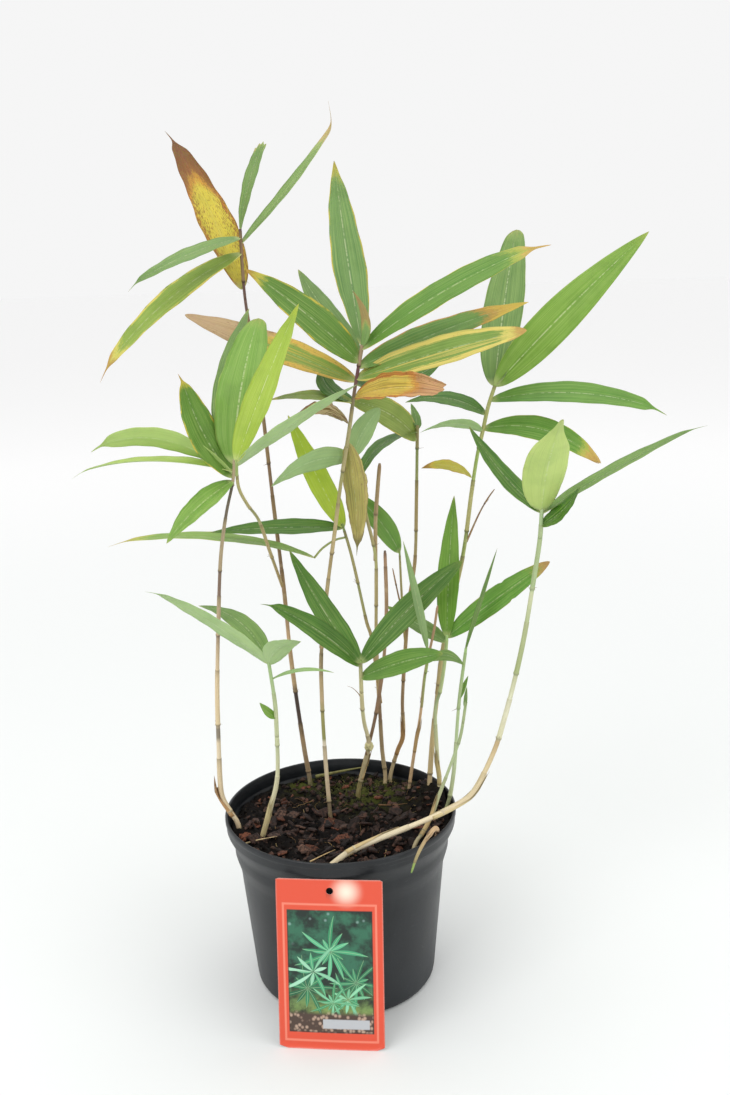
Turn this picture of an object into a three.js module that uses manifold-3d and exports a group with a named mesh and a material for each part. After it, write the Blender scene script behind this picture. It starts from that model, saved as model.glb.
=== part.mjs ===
// Potted dwarf bamboo: a tapered nursery pot of peat, its stems, their fans of blades, and a plant card that
// leans on the pot. Millimetres, +Z up. The origin is the middle of the pot's underside, the card is at -Y.
import * as THREE from 'three';
import { mergeVertices } from 'three/addons/utils/BufferGeometryUtils.js';
import Module from 'manifold-3d';

const wasm = await Module();
wasm.setup();

// Pot
const RIM_RADIUS = 84;
const POT_HEIGHT = 131;
const BASE_RADIUS = 66.5;
const SHOULDER_RADIUS = 74.4;
const NECK_RADIUS = 78;
const WALL = 1.6;
const FLOOR = 2.4;
const SECTORS = 36;
const DRAIN = { count: 6, circle: 46, radius: 4.5 };

// Soil
const CLEARANCE = 0.3;
const SOIL_LEVEL = 119;
const SOIL_RINGS = 8;
const HOLE_LENGTH = 45;
const HEAPS = [
  { x: 72, y: 30, height: 13, spread: 17 },
  { x: -74, y: -14, height: 5, spread: 12 },
  { x: -2, y: -70, height: 5, spread: 12 },
];
const BARK = { count: 20, length: [8, 15], width: [5, 9], thickness: 2.4, clearOfStems: 8, seed: 7 };

// Plant card
const CARD = {
  width: 72, height: 120, thickness: 0.8, lean: 15.5, middle: [-9, -97.6], yaw: -6, corner: 1, hole: 2.4,
};

// Blades: thickness, the share of the length at each section, 
const BLADE = { thickness: 0.7, shares: [0, 0.06, 0.2, 0.4, 0.62, 0.83, 1] };
const PETIOLE_HALF_WIDTH = 1;
const TIP_HALF_WIDTH = 0.5;

// Outlines of the blades: where along the blade it is fullest (a low power puts this near the root), how full
// it is, the share of the whole outline at which it ends, and how much it narrows before its tip
const SHAPES = {
  point: [0.72, 0.8, 1, 0],
  lance: [0.85, 0.85, 1, 0],
  oblong: [0.88, 0.6, 1, 0],
  blunt: [0.8, 0.6, 0.94, 0],
  strap: [1, 0.8, 0.75, 0],
  cut: [0.72, 0.8, 0.84, 0],
  spear: [0.75, 0.5, 1, 0.6],
};

// Stems: radius at the foot and the top, height where the bare culm gives way to the leafy part (leafless
// stems have none), and way points [x, y, z] from the foot up. A shoot starts inside the stem that it grows
// from.
const STEMS = {
  a: {
    radius: [1.7, 0.95], split: 494,
    points: [[-25, 62, 98], [-25, 61, 122], [-28, 57, 151], [-32, 54, 193], [-35, 50, 235], [-37, 46, 283],
      [-41, 41, 345], [-45, 38, 411], [-49, 36, 456], [-53, 36, 492], [-54, 36, 519], [-54, 36, 541]],
  },
  c: {
    on: 'a', radius: [1.2, 0.9], split: 386,
    points: [[-38, 46, 286], [-44, 22, 319], [-48, -6, 348], [-53, -28, 364], [-56, -48, 380],
      [-55, -61, 399]],
  },
  b: {
    radius: [1.8, 0.9], split: 378,
    points: [[-71, -14, 104], [-74, -14, 126], [-79, -14, 136], [-84, -13, 147], [-85, -13, 161],
      [-84, -15, 192], [-82, -19, 231], [-77, -27, 285], [-72, -35, 329], [-66, -40, 360], [-60, -44, 382],
      [-58, -45, 397]],
  },
  f: {
    radius: [1.4, 1.15], split: 395,
    points: [[-7, 4, 98], [-8, 5, 121], [-10, 9, 164], [-11, 13, 209], [-10, 16, 246], [-4, 16, 292],
      [3, 13, 335], [8, 7, 367], [15, 1, 404], [20, -4, 434], [26, -4, 464]],
  },
  v: {
    radius: [1.5, 1], split: 372,
    points: [[30, 54, 100], [34, 60, 122], [32, 57, 151], [31, 52, 192], [30, 46, 242], [31, 40, 285],
      [31, 36, 310], [26, 30, 338], [21, 24, 363], [17, 18, 387]],
  },
  e: {
    on: 'v', radius: [1.3, 0.9], split: 300,
    points: [[32, 54, 189], [27, 46, 241], [23, 42, 259], [17, 36, 294], [13, 32, 315], [8, 28, 336]],
  },
  u: { on: 'v', radius: [1.5, 1.2], points: [[31, 37, 306], [32, 38, 336], [34, 39, 358], [36, 39, 377]] },
  g: {
    radius: [1.45, 1.1], split: 380,
    points: [[38, 61, 102], [38, 65, 122], [44, 66, 143], [49, 65, 158], [49, 64, 187], [52, 63, 228],
      [56, 64, 267], [61, 66, 298], [63, 68, 343], [65, 70, 399]],
  },
  h: {
    on: 'g', radius: [0.9, 0.7], split: 300,
    points: [[52.5, 63, 230], [51, 60, 250], [50, 56, 276], [49, 50, 310]],
  },
  x: { on: 'g', radius: [0.9, 0.4], points: [[53, 63, 246], [50, 65, 260], [47, 66, 275], [44, 66, 292]] },
  k: {
    radius: [1.8, 1.2], split: 358,
    points: [[66, 30, 106], [67, 31, 132], [70, 34, 166], [75, 38, 204], [82, 42, 250], [95, 44, 305],
      [102, 45, 353], [106, 44, 379], [110, 43, 397], [114, 42, 415], [119, 42, 430]],
  },
  z: { on: 'k', radius: [0.8, 0.4], points: [[98, 45, 316], [106, 38, 337], [112, 35, 349], [117, 32, 357]] },
  m: {
    radius: [2, 1.4], split: 332,
    points: [[-18, -73, 114], [-2, -67, 124], [8, -61, 128], [26, -52, 131], [60, -38, 137], [86, -28, 145],
      [97, -24, 154], [110, -20, 179], [117, -18, 200], [125, -17, 231], [132, -16, 264], [138, -16, 302],
      [142, -17, 331], [143, -18, 353]],
  },
  n: {
    radius: [1.8, 1.2], split: 215,
    points: [[12, 36, 101], [13, 35, 125], [19, 31, 151], [22, 27, 168], [19, 20, 188], [18, 12, 208],
      [18, 2, 242]],
  },
  w: {
    on: 'n', radius: [1.3, 1.2],
    points: [[20, 29, 158], [26, 28, 182], [30, 29, 201], [35, 31, 232], [38, 33, 270], [38, 34, 314]],
  },
  o: {
    radius: [1.6, 1.2], split: 205,
    points: [[-61, -16, 100], [-56, -22, 120], [-48, -28, 147], [-42, -34, 173], [-40, -44, 215],
      [-40, -48, 234],
      [-42, -56, 264]],
  },
  p: {
    radius: [1.5, 1.1], split: 235,
    points: [[68, 23, 106], [74, 26, 132], [73, 27, 153], [72, 26, 192], [76, 24, 210], [79, 21, 231],
      [81, 18, 254]],
  },
  r: {
    radius: [1.5, 1], split: 200,
    points: [[70, 5, 102], [79, 5, 128], [83, 4, 150], [85, 4, 171], [88, 3, 210], [93, 2, 249]],
  },
  s: {
    radius: [1.4, 0.9], split: 200,
    points: [[46, -52, 104], [52, -45, 122], [58, -35, 126], [65, -26, 134], [71, -20, 147], [81, -18, 173],
      [87, -17, 191], [91, -17, 216]],
  },
  y: {
    radius: [1.2, 0.9],
    points: [[49, 34, 98], [51, 35, 122], [57, 32, 163], [61, 28, 189], [65, 22, 225], [71, 15, 257],
      [74, 12, 278]],
  },
  j: {
    on: 'y', radius: [1, 0.8], split: 224,
    points: [[62, 26, 196], [64, 16, 221], [66, 9, 238], [66, 5, 249]],
  },
  t: {
    radius: [1.9, 0.8],
    points: [[62, -28, 104], [68, -35, 122], [66, -50, 137], [58, -66, 136], [52, -74, 129], [48, -77, 119]],
  },
  d: {
    on: 'e', leafy: true, radius: [0.8, 0.8],
    points: [[10, 29, 326], [2, 29, 324], [-7, 30, 318], [-13, 31, 311]],
  },
};

// Nodes of the stems: the first ring's distance from the foot, the longest and shortest internode, the ring's
// half height and swelling, and how far the sheath above a ring reaches
const NODE = { first: 34, longest: 75, shortest: 48, half: 1.4, swell: 1.3, sheath: 1.13, reach: 0.62 };
const STEM_SIDES = 6;

// A stem gets another section between two where it turns by more than this, in degrees
const TURN = 9;

// Stands for the end of a stem in a blade's row
const END = null;

// Blades of each fan: stem, height of the root on it (END is the stem's end), tip [x, y, z], width, arch
// upwards, sway to the left, roll about the midrib and fold of the two halves in degrees, and the shape
// of the outline where it isn't a plain point
const FANS = {
  leaves_a: { stems: ['a'], look: 'green', blades: [
    ['a', 539, [-38, 56, 597], 13, 1, 2, -5, 12, 'strap'],
    ['a', 531, [16, 66, 616], 10, -2, -4, 22, 25],
    ['a', 535, [-125, -9, 505], 15, 4, 1, -25, 12],
    ['a', 525, [-150, -4, 446], 20, 9, 1, -32, 12]] },
  leaves_b: { stems: ['b'], look: 'green', blades: [
    ['b', 395, [-40, -20, 484], 36, 3, 2, 7, 10, 'blunt'],
    ['b', 394, [-49, 15, 489], 26, 5, 7, -25, 12],
    ['b', 385, [-91, -29, 452], 26, -4, 2, -20, 12],
    ['b', 383, [-101, -69, 349], 20, 3, -1, -18, 12],
    ['b', 387, [-156, -14, 402], 20, 15, 1, 53, 12, 'oblong'],
    ['b', 389, [-177, 11, 380], 14, 9, 4, -4, 25]] },
  leaves_c: { stems: ['c'], look: 'lime', blades: [
    ['c', 398, [-13, -38, 493], 24, 1, 1, 20, 12],
    ['c', 395, [22, -80, 446], 16, 2, 1, -25, 15]] },
  leaves_e: { stems: ['e', 'd'], look: 'green', blades: [
    ['d', END, [-154, 2, 333], 16, 9, -4, -10, 15],
    ['e', 333, [-85, 18, 335], 17, 2, 1, -27, 15],
    ['e', 333, [-29, 58, 411], 20, -1, 0, -19, 10]] },
  leaves_f: { stems: ['f'], look: 'green', blades: [
    ['f', 463, [11, 36, 583], 27, 0, 1, 15, 12, 'lance'],
    ['f', 453, [-45, -39, 515], 26, 2, 1, -66, 12],
    ['f', 461, [145, -29, 526], 21, 6, 0, 48, 12, 'oblong'],
    ['f', 442, [128, -50, 473], 25, 2, 3, 49, 12, 'oblong'],
    ['f', 449, [140, 26, 487], 22, 3, -1, 38, 12],
    ['f', 462, [21, -12, 499], 7, 0, 6, 0, 12],
    ['f', 440, [-103, 90, 483], 24, 0, -5, -34, 12, 'oblong'],
    ['f', 438, [82, 41, 448], 20, -6, 0, 30, 12],
    ['f', 426, [-39, 16, 427], 14, 4, -1, -21, 12],
    ['f', 453, [-17, 56, 513], 20, 1, 2, -9, 12],
    ['f', 426, [-2, 31, 448], 16, -2, 7, -3, 12]] },
  leaves_g: { stems: ['g'], look: 'green', blades: [
    ['g', 389, [13, 45, 422], 24, 6, 1, -64, 12],
    ['g', 394, [19, 30, 360], 15, 9, -7, -2, 15],
    ['g', 396, [61, 80, 414], 9, 0, -1, 19, 12]] },
  leaves_h: { stems: ['h'], look: 'green', blades: [['h', 308, [11, 62, 355], 16, 5, 2, -62, 12]] },
  leaves_k: { stems: ['k'], look: 'green', blades: [
    ['k', 429, [141, 97, 536], 31, 1, 1, -8, 10, 'blunt'],
    ['k', 429, [222, 32, 531], 27, 2, 0, 80, 12],
    ['k', 419, [237, 27, 409], 19, 9, 1, 43, 15, 'oblong'],
    ['k', 399, [190, 23, 375], 20, 11, 2, 48, 12, 'oblong'],
    ['k', 397, [64, 13, 402], 12, 6, 1, 35, 12],
    ['k', 409, [56, 62, 417], 16, 7, -2, -29, 12]] },
  leaves_m: { stems: ['m'], look: 'green', blades: [
    ['m', 351, [146, -78, 421], 29, 2, -2, 2, 25, 'spear'],
    ['m', 350, [97, 7, 406], 16, -3, 1, -23, 12],
    ['m', 349, [254, -8, 406], 13, 2, 2, 14, 20],
    ['m', 341, [166, -32, 370], 15, -3, 0, 44, 12]] },
  leaves_n: { stems: ['n'], look: 'green', blades: [
    ['n', 240, [-29, 4, 324], 20, -2, 1, -44, 12],
    ['n', 238, [-47, -24, 296], 19, 4, 1, -52, 12],
    ['n', 240, [93, 22, 308], 19, 3, 0, 50, 12, 'oblong'],
    ['n', 228, [74, -34, 258], 19, 2, 1, 51, 12, 'oblong']] },
  leaves_o: { stems: ['o'], look: 'green', blades: [
    ['o', 262, [-114, -76, 322], 15, 3, -2, 43, 12],
    ['o', 262, [-94, 0, 287], 16, 8, -5, -11, 12],
    ['o', 262, [-18, -91, 289], 16, 4, -3, -39, 12],
    ['o', 250, [1, -62, 257], 5, 4, 1, 14, 12],
    ['o', 220, [-50, -50, 233], 7, -1, 0, -53, 12]] },
  leaves_p: { stems: ['p'], look: 'green', blades: [
    ['p', 252, [90, 53, 349], 18, 0, 1, -18, 12],
    ['p', 252, [153, 8, 309], 18, 1, 1, 53, 12, 'oblong'],
    ['p', 248, [38, 45, 269], 14, 0, -1, -25, 12]] },
  leaves_j: { stems: ['j'], look: 'green', blades: [
    ['j', 247, [50, -4, 330], 6, 0, 1, 53, 25],
    ['j', 238, [91, -6, 239], 9, 5, 2, 44, 12]] },
  leaves_r: { stems: ['r'], look: 'green', blades: [
    ['r', 247, [116, 7, 320], 6, 0, -1, 10, 25],
    ['r', 210, [95, 8, 226], 6, 0, 0, -8, 12]] },
  leaves_s: { stems: ['s'], look: 'green', blades: [['s', 211, [92, -14, 226], 5, 0, 0, -35, 12]] },
  leaves_v: { stems: ['v'], look: 'pale', blades: [
    ['v', 386, [37, 28, 418], 17, 2, 1, -90, 12, 'oblong'],
    ['v', 385, [-37, -27, 375], 17, 7, -1, 71, 12]] },
};

// Single dry or yellow blades, each beside the stem that bears it: the same values, the look, and how far the
// root stands out from the stem's middle
const SINGLE_BLADES = {
  blade_a_autumn: { row: ['a', 501, [-106, 81, 611], 31, 2, -3, -6, 12], look: 'autumn', standOut: 2.2 },
  blade_f_dry_right: { row: ['f', 430, [74, -75, 440], 20, 4, 0, 53, 30, 'cut'], look: 'dry', standOut: 2 },
  blade_f_dry_left: { row: ['f', 412, [-17, -29, 423], 14, 4, -1, -46, 30], look: 'dry', standOut: 2 },
  blade_f_dry_hanging: { row: ['f', 398, [18, 22, 315], 17, 0, -2, 0, 20], look: 'dry', standOut: 2 },
  blade_k_yellow: { row: ['k', 364, [65, 25, 375], 12, 5, 0, -37, 15], look: 'yellow', standOut: 2 },
};

const LOOKS = {
  pot: { color: 0x2b2f31, roughness: 0.62, metalness: 0 },
  soil: { color: 0x2f211b, roughness: 0.98, metalness: 0 },
  card: { color: 0xc8402c, roughness: 0.35, metalness: 0 },
  culm: { color: 0xa88a5c, roughness: 0.6, metalness: 0 },
  green: { color: 0x4f8a35, roughness: 0.45, metalness: 0 },
  lime: { color: 0xa8cc3c, roughness: 0.45, metalness: 0 },
  pale: { color: 0x86b27c, roughness: 0.5, metalness: 0 },
  autumn: { color: 0xc99a32, roughness: 0.6, metalness: 0 },
  dry: { color: 0xb98548, roughness: 0.75, metalness: 0 },
  yellow: { color: 0xd6c23e, roughness: 0.6, metalness: 0 },
};

// A seeded random source, so that the bark lies alike on every run
function randomSource(seed) {
  let state = seed;
  return () => {
    state = (state * 1664525 + 1013904223) % 4294967296;
    return state / 4294967296;
  };
}

// Solids and geometry

function toSolid(geometry) {
  const bare = geometry.index ? geometry.clone() : geometry;
  for (const name of ['normal', 'uv']) bare.deleteAttribute(name);
  const merged = mergeVertices(bare, 1e-4);
  return new wasm.Manifold(new wasm.Mesh({
    numProp: 3,
    vertProperties: new Float32Array(merged.attributes.position.array),
    triVerts: new Uint32Array(merged.index.array),
  }));
}

function toGeometry(solid) {
  const mesh = solid.getMesh();
  const geometry = new THREE.BufferGeometry();
  geometry.setAttribute('position', new THREE.BufferAttribute(new Float32Array(mesh.vertProperties), 3));
  geometry.setIndex(new THREE.BufferAttribute(new Uint32Array(mesh.triVerts), 1));
  geometry.computeVertexNormals();
  return geometry;
}

function signedVolume(points, faces) {
  let volume = 0;
  for (const [a, b, c] of faces) volume += points[a].dot(points[b].clone().cross(points[c])) / 6;
  return volume;
}

function geometryFrom(points, faces) {
  const outward = signedVolume(points, faces) > 0;
  const geometry = new THREE.BufferGeometry().setFromPoints(points);
  geometry.setIndex(faces.flatMap(([a, b, c]) => (outward ? [a, b, c] : [a, c, b])));
  return geometry;
}

// A closed body through rings of equal length. Each end is closed in pairs of points, from one side of the
// ring to the other, so that a bent section closes too.
function loft(rings) {
  const size = rings[0].length;
  const points = rings.flat();
  const faces = [];
  for (let ring = 0; ring < rings.length - 1; ring += 1) {
    for (let i = 0; i < size; i += 1) {
      const a = ring * size + i;
      const b = ring * size + ((i + 1) % size);
      // the split of each quad is mirrored between the section's two rows, so both faces bend alike
      if (i < size / 2) faces.push([a, b, b + size], [a, b + size, a + size]);
      else faces.push([a, b, a + size], [b, b + size, a + size]);
    }
  }
  const last = (rings.length - 1) * size;
  for (let i = 0; i < size / 2 - 1; i += 1) {
    const j = size - 1 - i;
    faces.push([i, j, j - 1], [i, j - 1, i + 1]);
    faces.push([last + i, last + j - 1, last + j], [last + i, last + i + 1, last + j - 1]);
  }
  return geometryFrom(points, faces);
}

function part(name, geometry, look) {
  const mesh = new THREE.Mesh(geometry, new THREE.MeshStandardMaterial(LOOKS[look]));
  mesh.name = name;
  return mesh;
}

function union(solids) {
  return solids.reduce((whole, next) => whole.add(next));
}

// Pot: half section from the middle of the underside, out and up the wall, over the rim and down the inside

function innerRadiusAt(z) {
  const profile = potInnerProfile();
  for (let i = 0; i < profile.length - 1; i += 1) {
    const [low, high] = [profile[i], profile[i + 1]];
    if (z <= high[1]) return low[0] + ((high[0] - low[0]) * Math.max(z - low[1], 0)) / (high[1] - low[1]);
  }
  return profile.at(-1)[0];
}

function potInnerProfile() {
  return [
    [BASE_RADIUS - WALL - 3.5, FLOOR],
    [BASE_RADIUS - WALL + 0.2, 8],
    [SHOULDER_RADIUS - WALL, 90],
    [NECK_RADIUS - WALL, 103],
    [NECK_RADIUS - WALL + 0.2, 110],
    [RIM_RADIUS - 2.4 - WALL, 118],
    [RIM_RADIUS - 0.8 - WALL, 121],
    [RIM_RADIUS - WALL - 0.4, POT_HEIGHT - 1],
  ];
}

function makePot() {
  const outer = [
    [0, 0],
    [BASE_RADIUS - 4.5, 0],
    [BASE_RADIUS - 1.3, 1.5],
    [BASE_RADIUS, 5],
    [SHOULDER_RADIUS, 90],
    [NECK_RADIUS, 103],
    [NECK_RADIUS + 0.2, 110],
    [RIM_RADIUS - 2.2, 118],
    [RIM_RADIUS - 0.8, 121],
    [RIM_RADIUS - 0.6, 126.5],
    [RIM_RADIUS, 127.3],
    [RIM_RADIUS, POT_HEIGHT - 0.8],
    [RIM_RADIUS - 0.9, POT_HEIGHT],
    [RIM_RADIUS - WALL + 0.2, POT_HEIGHT],
  ];
  const profile = [...outer, ...potInnerProfile().reverse(), [0, FLOOR]];
  const lathe = new THREE.LatheGeometry(profile.map(([r, z]) => new THREE.Vector2(r, z)), SECTORS);
  lathe.rotateX(Math.PI / 2);
  let pot = toSolid(lathe);
  for (let i = 0; i < DRAIN.count; i += 1) {
    const angle = (i / DRAIN.count) * Math.PI * 2 + 0.3;
    const hole = new THREE.CylinderGeometry(DRAIN.radius, DRAIN.radius, FLOOR * 4, 8);
    hole.rotateX(Math.PI / 2);
    hole.translate(DRAIN.circle * Math.cos(angle), DRAIN.circle * Math.sin(angle), 0);
    pot = pot.subtract(toSolid(hole));
  }
  return toGeometry(pot);
}

// Stems

function curveOf(stem) {
  const points = STEMS[stem].points.map((point) => new THREE.Vector3(...point));
  return new THREE.CatmullRomCurve3(points, false, 'catmullrom', 0.5);
}

// The share of a curve's length at which it reaches a height
function shareAtHeight(curve, z) {
  let low = 0;
  let high = 1;
  for (let i = 0; i < 24; i += 1) {
    const middle = (low + high) / 2;
    if (curve.getPointAt(middle).z < z) low = middle;
    else high = middle;
  }
  return (low + high) / 2;
}

// Distances along a stem with the factor on its radius there: a swollen ring at each node, then the sheath that
// wraps the lower part of the internode above it
function stemStations(length, from, to) {
  const stations = [];
  let at = NODE.first;
  for (let i = 0; at < length - 12; i += 1) {
    const internode = NODE.shortest + (NODE.longest - NODE.shortest) * (0.5 + 0.5 * Math.sin(i * 1.9 + 0.6));
    stations.push([at - NODE.half, 1], [at, NODE.swell], [at + NODE.half, NODE.sheath]);
    const end = at + internode * NODE.reach;
    if (end < length - 12) stations.push([end, NODE.sheath], [end + 0.8, 1]);
    at += internode;
  }
  const inside = stations.filter(([s]) => s > from + 1.5 && s < to - 1.5);
  return [[from, 1], ...inside, [to, 1]];
}

// The stations with more between them where the stem turns
function roundedStations(curve, length, stations) {
  const rounded = [stations[0]];
  for (const next of stations.slice(1)) {
    const [from, factor] = rounded.at(-1);
    const turn = curve.getTangentAt(from / length).angleTo(curve.getTangentAt(next[0] / length));
    const wanted = Math.ceil(THREE.MathUtils.radToDeg(turn) / TURN);
    const pieces = Math.min(wanted, Math.ceil((next[0] - from) / 6));
    for (let i = 1; i < pieces; i += 1) {
      rounded.push([from + ((next[0] - from) * i) / pieces, Math.min(factor, next[1])]);
    }
    rounded.push(next);
  }
  return rounded;
}

// A stem between two shares of its length. A hole for it is wider by grow all round and deeper by grow at the
// foot.
function stemTube(stem, fromShare, toShare, grow = 0) {
  const { radius: [foot, top] } = STEMS[stem];
  const curve = curveOf(stem);
  const length = curve.getLength();
  const stations = roundedStations(curve, length, stemStations(length, fromShare * length, toShare * length));
  const rings = stations.map(([s, factor], ring) => {
    const share = s / length;
    const centre = curve.getPointAt(share);
    const along = curve.getTangentAt(share);
    if (ring === 0) centre.addScaledVector(along, -grow);
    const side = new THREE.Vector3(0, 1, 0).cross(along).normalize();
    const other = along.clone().cross(side);
    const radius = (foot + (top - foot) * share) * factor + grow;
    return Array.from({ length: STEM_SIDES }, (_, i) => {
      const angle = ((i + 0.5) / STEM_SIDES) * Math.PI * 2;
      const out = side.clone().multiplyScalar(Math.cos(angle)).addScaledVector(other, Math.sin(angle));
      return centre.clone().addScaledVector(out, radius);
    });
  });
  return toSolid(loft(rings));
}

// The bare part of a stem, up to a small gap below the leafy part, and the leafy part above it
function bareStem(stem) {
  const { split } = STEMS[stem];
  const end = split ? shareAtHeight(curveOf(stem), split - CLEARANCE / 2) : 1;
  return stemTube(stem, 0, end);
}

function leafyStem(stem) {
  const { split, leafy } = STEMS[stem];
  const start = leafy ? 0 : shareAtHeight(curveOf(stem), split + CLEARANCE / 2);
  return stemTube(stem, start, 1);
}

function makeCulm(stem) {
  const shoots = Object.keys(STEMS).filter((name) => STEMS[name].on === stem && !STEMS[name].leafy);
  return toGeometry(union([stem, ...shoots].map(bareStem)));
}

// Half of a blade's width at a share of its length: a sine, raised and ended as the shape says
function halfWidth(share, width, shape) {
  const [peak, fullness, reach, narrowing] = SHAPES[shape];
  const swell = Math.sin(Math.PI * (share * reach) ** peak) ** fullness;
  const narrow = 1 - narrowing * THREE.MathUtils.smoothstep(share, 0.6, 0.95);
  const least = share < 0.5 ? PETIOLE_HALF_WIDTH : TIP_HALF_WIDTH;
  return Math.max((width / 2) * (swell || 0) * narrow, least);
}

// Blades: the midrib is the chord from root to tip, bowed by arch and sway with their most at the middle, and
// the two halves fold up from it
function blade([stem, rootZ, tip, width, arch, sway, roll, fold, shape = 'point'], standOut = 0) {
  const curve = curveOf(stem);
  const root = curve.getPointAt(rootZ === END ? 1 : shareAtHeight(curve, rootZ));
  const tipPoint = new THREE.Vector3(...tip);
  const heading = new THREE.Vector3(tipPoint.x - root.x, tipPoint.y - root.y, 0).normalize();
  root.addScaledVector(heading, standOut);
  const chord = tipPoint.clone().sub(root);
  const side = new THREE.Vector3(-heading.y, heading.x, 0);
  const up = chord.clone().normalize().cross(side);
  const angle = THREE.MathUtils.degToRad(roll);
  const across = side.clone().multiplyScalar(Math.cos(angle)).addScaledVector(up, Math.sin(angle));
  const normal = up.clone().multiplyScalar(Math.cos(angle)).addScaledVector(side, -Math.sin(angle));
  const lift = Math.tan(THREE.MathUtils.degToRad(fold));
  const rings = BLADE.shares.map((share) => {
    const bow = 4 * share * (1 - share);
    const centre = root.clone().addScaledVector(chord, share);
    centre.addScaledVector(up, arch * bow).addScaledVector(side, sway * bow);
    const half = halfWidth(share, width, shape);
    const at = (offset, height) => (
      centre.clone().addScaledVector(across, offset).addScaledVector(normal, height));
    const t = BLADE.thickness / 2;
    return [at(-half, lift * half + t), at(0, t), at(half, lift * half + t),
      at(half, lift * half - t), at(0, -t), at(-half, lift * half - t)];
  });
  return toSolid(loft(rings));
}

function makeFan({ stems, blades }) {
  return toGeometry(union([...stems.map(leafyStem), ...blades.map((row) => blade(row))]));
}

// Soil: follows the inside of the pot, with a lumpy top that is heaped at the right of the back, bark pressed
// into it, and a hole for each stem

function soilHeight(x, y) {
  let z = SOIL_LEVEL;
  for (const heap of HEAPS) {
    z += heap.height * Math.exp(-((x - heap.x) ** 2 + (y - heap.y) ** 2) / (2 * heap.spread ** 2));
  }
  z += 0.9 * Math.sin(x * 0.31 + y * 0.17);
  z += 0.7 * Math.sin(y * 0.43 - x * 0.11 + 1.3);
  z += 0.5 * Math.sin(x * 0.83 + y * 0.71);
  return z;
}

function soilBody() {
  const random = randomSource(BARK.seed + 1);
  const wall = [FLOOR + CLEARANCE, 8, 90, 103, 110, 117].map((z) => [innerRadiusAt(z) - CLEARANCE, z]);
  const topRadius = innerRadiusAt(SOIL_LEVEL - 1) - CLEARANCE - 0.1;
  const points = [new THREE.Vector3(0, 0, FLOOR + CLEARANCE)];
  const rows = wall.map(([r, z]) => ({ r, z }));
  for (let ring = SOIL_RINGS; ring >= 1; ring -= 1) {
    rows.push({ r: (topRadius * ring) / SOIL_RINGS, top: ring });
  }
  for (const row of rows) {
    for (let i = 0; i < SECTORS; i += 1) {
      const angle = (i / SECTORS) * Math.PI * 2;
      const x = row.r * Math.cos(angle);
      const y = row.r * Math.sin(angle);
      const inner = row.top && row.top < SOIL_RINGS;
      const crumb = inner ? (random() - 0.5) * 1.8 : 0;
      points.push(new THREE.Vector3(x, y, row.top ? soilHeight(x, y) + crumb : row.z));
    }
  }
  points.push(new THREE.Vector3(0, 0, soilHeight(0, 0)));
  const faces = [];
  const at = (row, i) => 1 + row * SECTORS + (i % SECTORS);
  const apex = points.length - 1;
  for (let i = 0; i < SECTORS; i += 1) {
    faces.push([0, at(0, i + 1), at(0, i)]);
    for (let row = 0; row < rows.length - 1; row += 1) {
      faces.push([at(row, i), at(row, i + 1), at(row + 1, i + 1)]);
      faces.push([at(row, i), at(row + 1, i + 1), at(row + 1, i)]);
    }
    faces.push([at(rows.length - 1, i), at(rows.length - 1, i + 1), apex]);
  }
  return toSolid(geometryFrom(points, faces));
}

// Flat, wedge-shaped pieces of bark, each tilted and pressed about half way into the soil
function barkPieces() {
  const random = randomSource(BARK.seed);
  const between = ([low, high]) => low + (high - low) * random();
  const stemSpots = Object.keys(STEMS).flatMap((stem) => {
    const curve = curveOf(stem);
    return curve.getSpacedPoints(60).filter((point) => point.z < soilHeight(point.x, point.y) + 14);
  });
  const pieces = [];
  while (pieces.length < BARK.count) {
    const radius = 70 * Math.sqrt(random());
    const angle = random() * Math.PI * 2;
    const [x, y] = [radius * Math.cos(angle), radius * Math.sin(angle)];
    const [length, width] = [between(BARK.length), between(BARK.width)];
    const turn = random() * Math.PI;
    const tilt = (random() - 0.5) * 0.7;
    const clear = stemSpots.every((spot) => Math.hypot(spot.x - x, spot.y - y) > BARK.clearOfStems + 1);
    if (!clear) continue;
    const piece = new THREE.BoxGeometry(length, width, BARK.thickness);
    piece.rotateX(tilt);
    piece.rotateY(-tilt * 0.8);
    piece.rotateZ(turn);
    piece.translate(x, y, soilHeight(x, y) + 0.5);
    pieces.push(toSolid(piece));
  }
  return pieces;
}

function makeSoil() {
  let soil = union([soilBody(), ...barkPieces()]);
  for (const [stem, { on }] of Object.entries(STEMS)) {
    if (on) continue;
    const reach = Math.min(HOLE_LENGTH / curveOf(stem).getLength(), 1);
    soil = soil.subtract(stemTube(stem, 0, reach, CLEARANCE + 0.1));
  }
  const [largest] = soil.decompose().sort((a, b) => b.volume() - a.volume());
  return toGeometry(largest);
}

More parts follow.
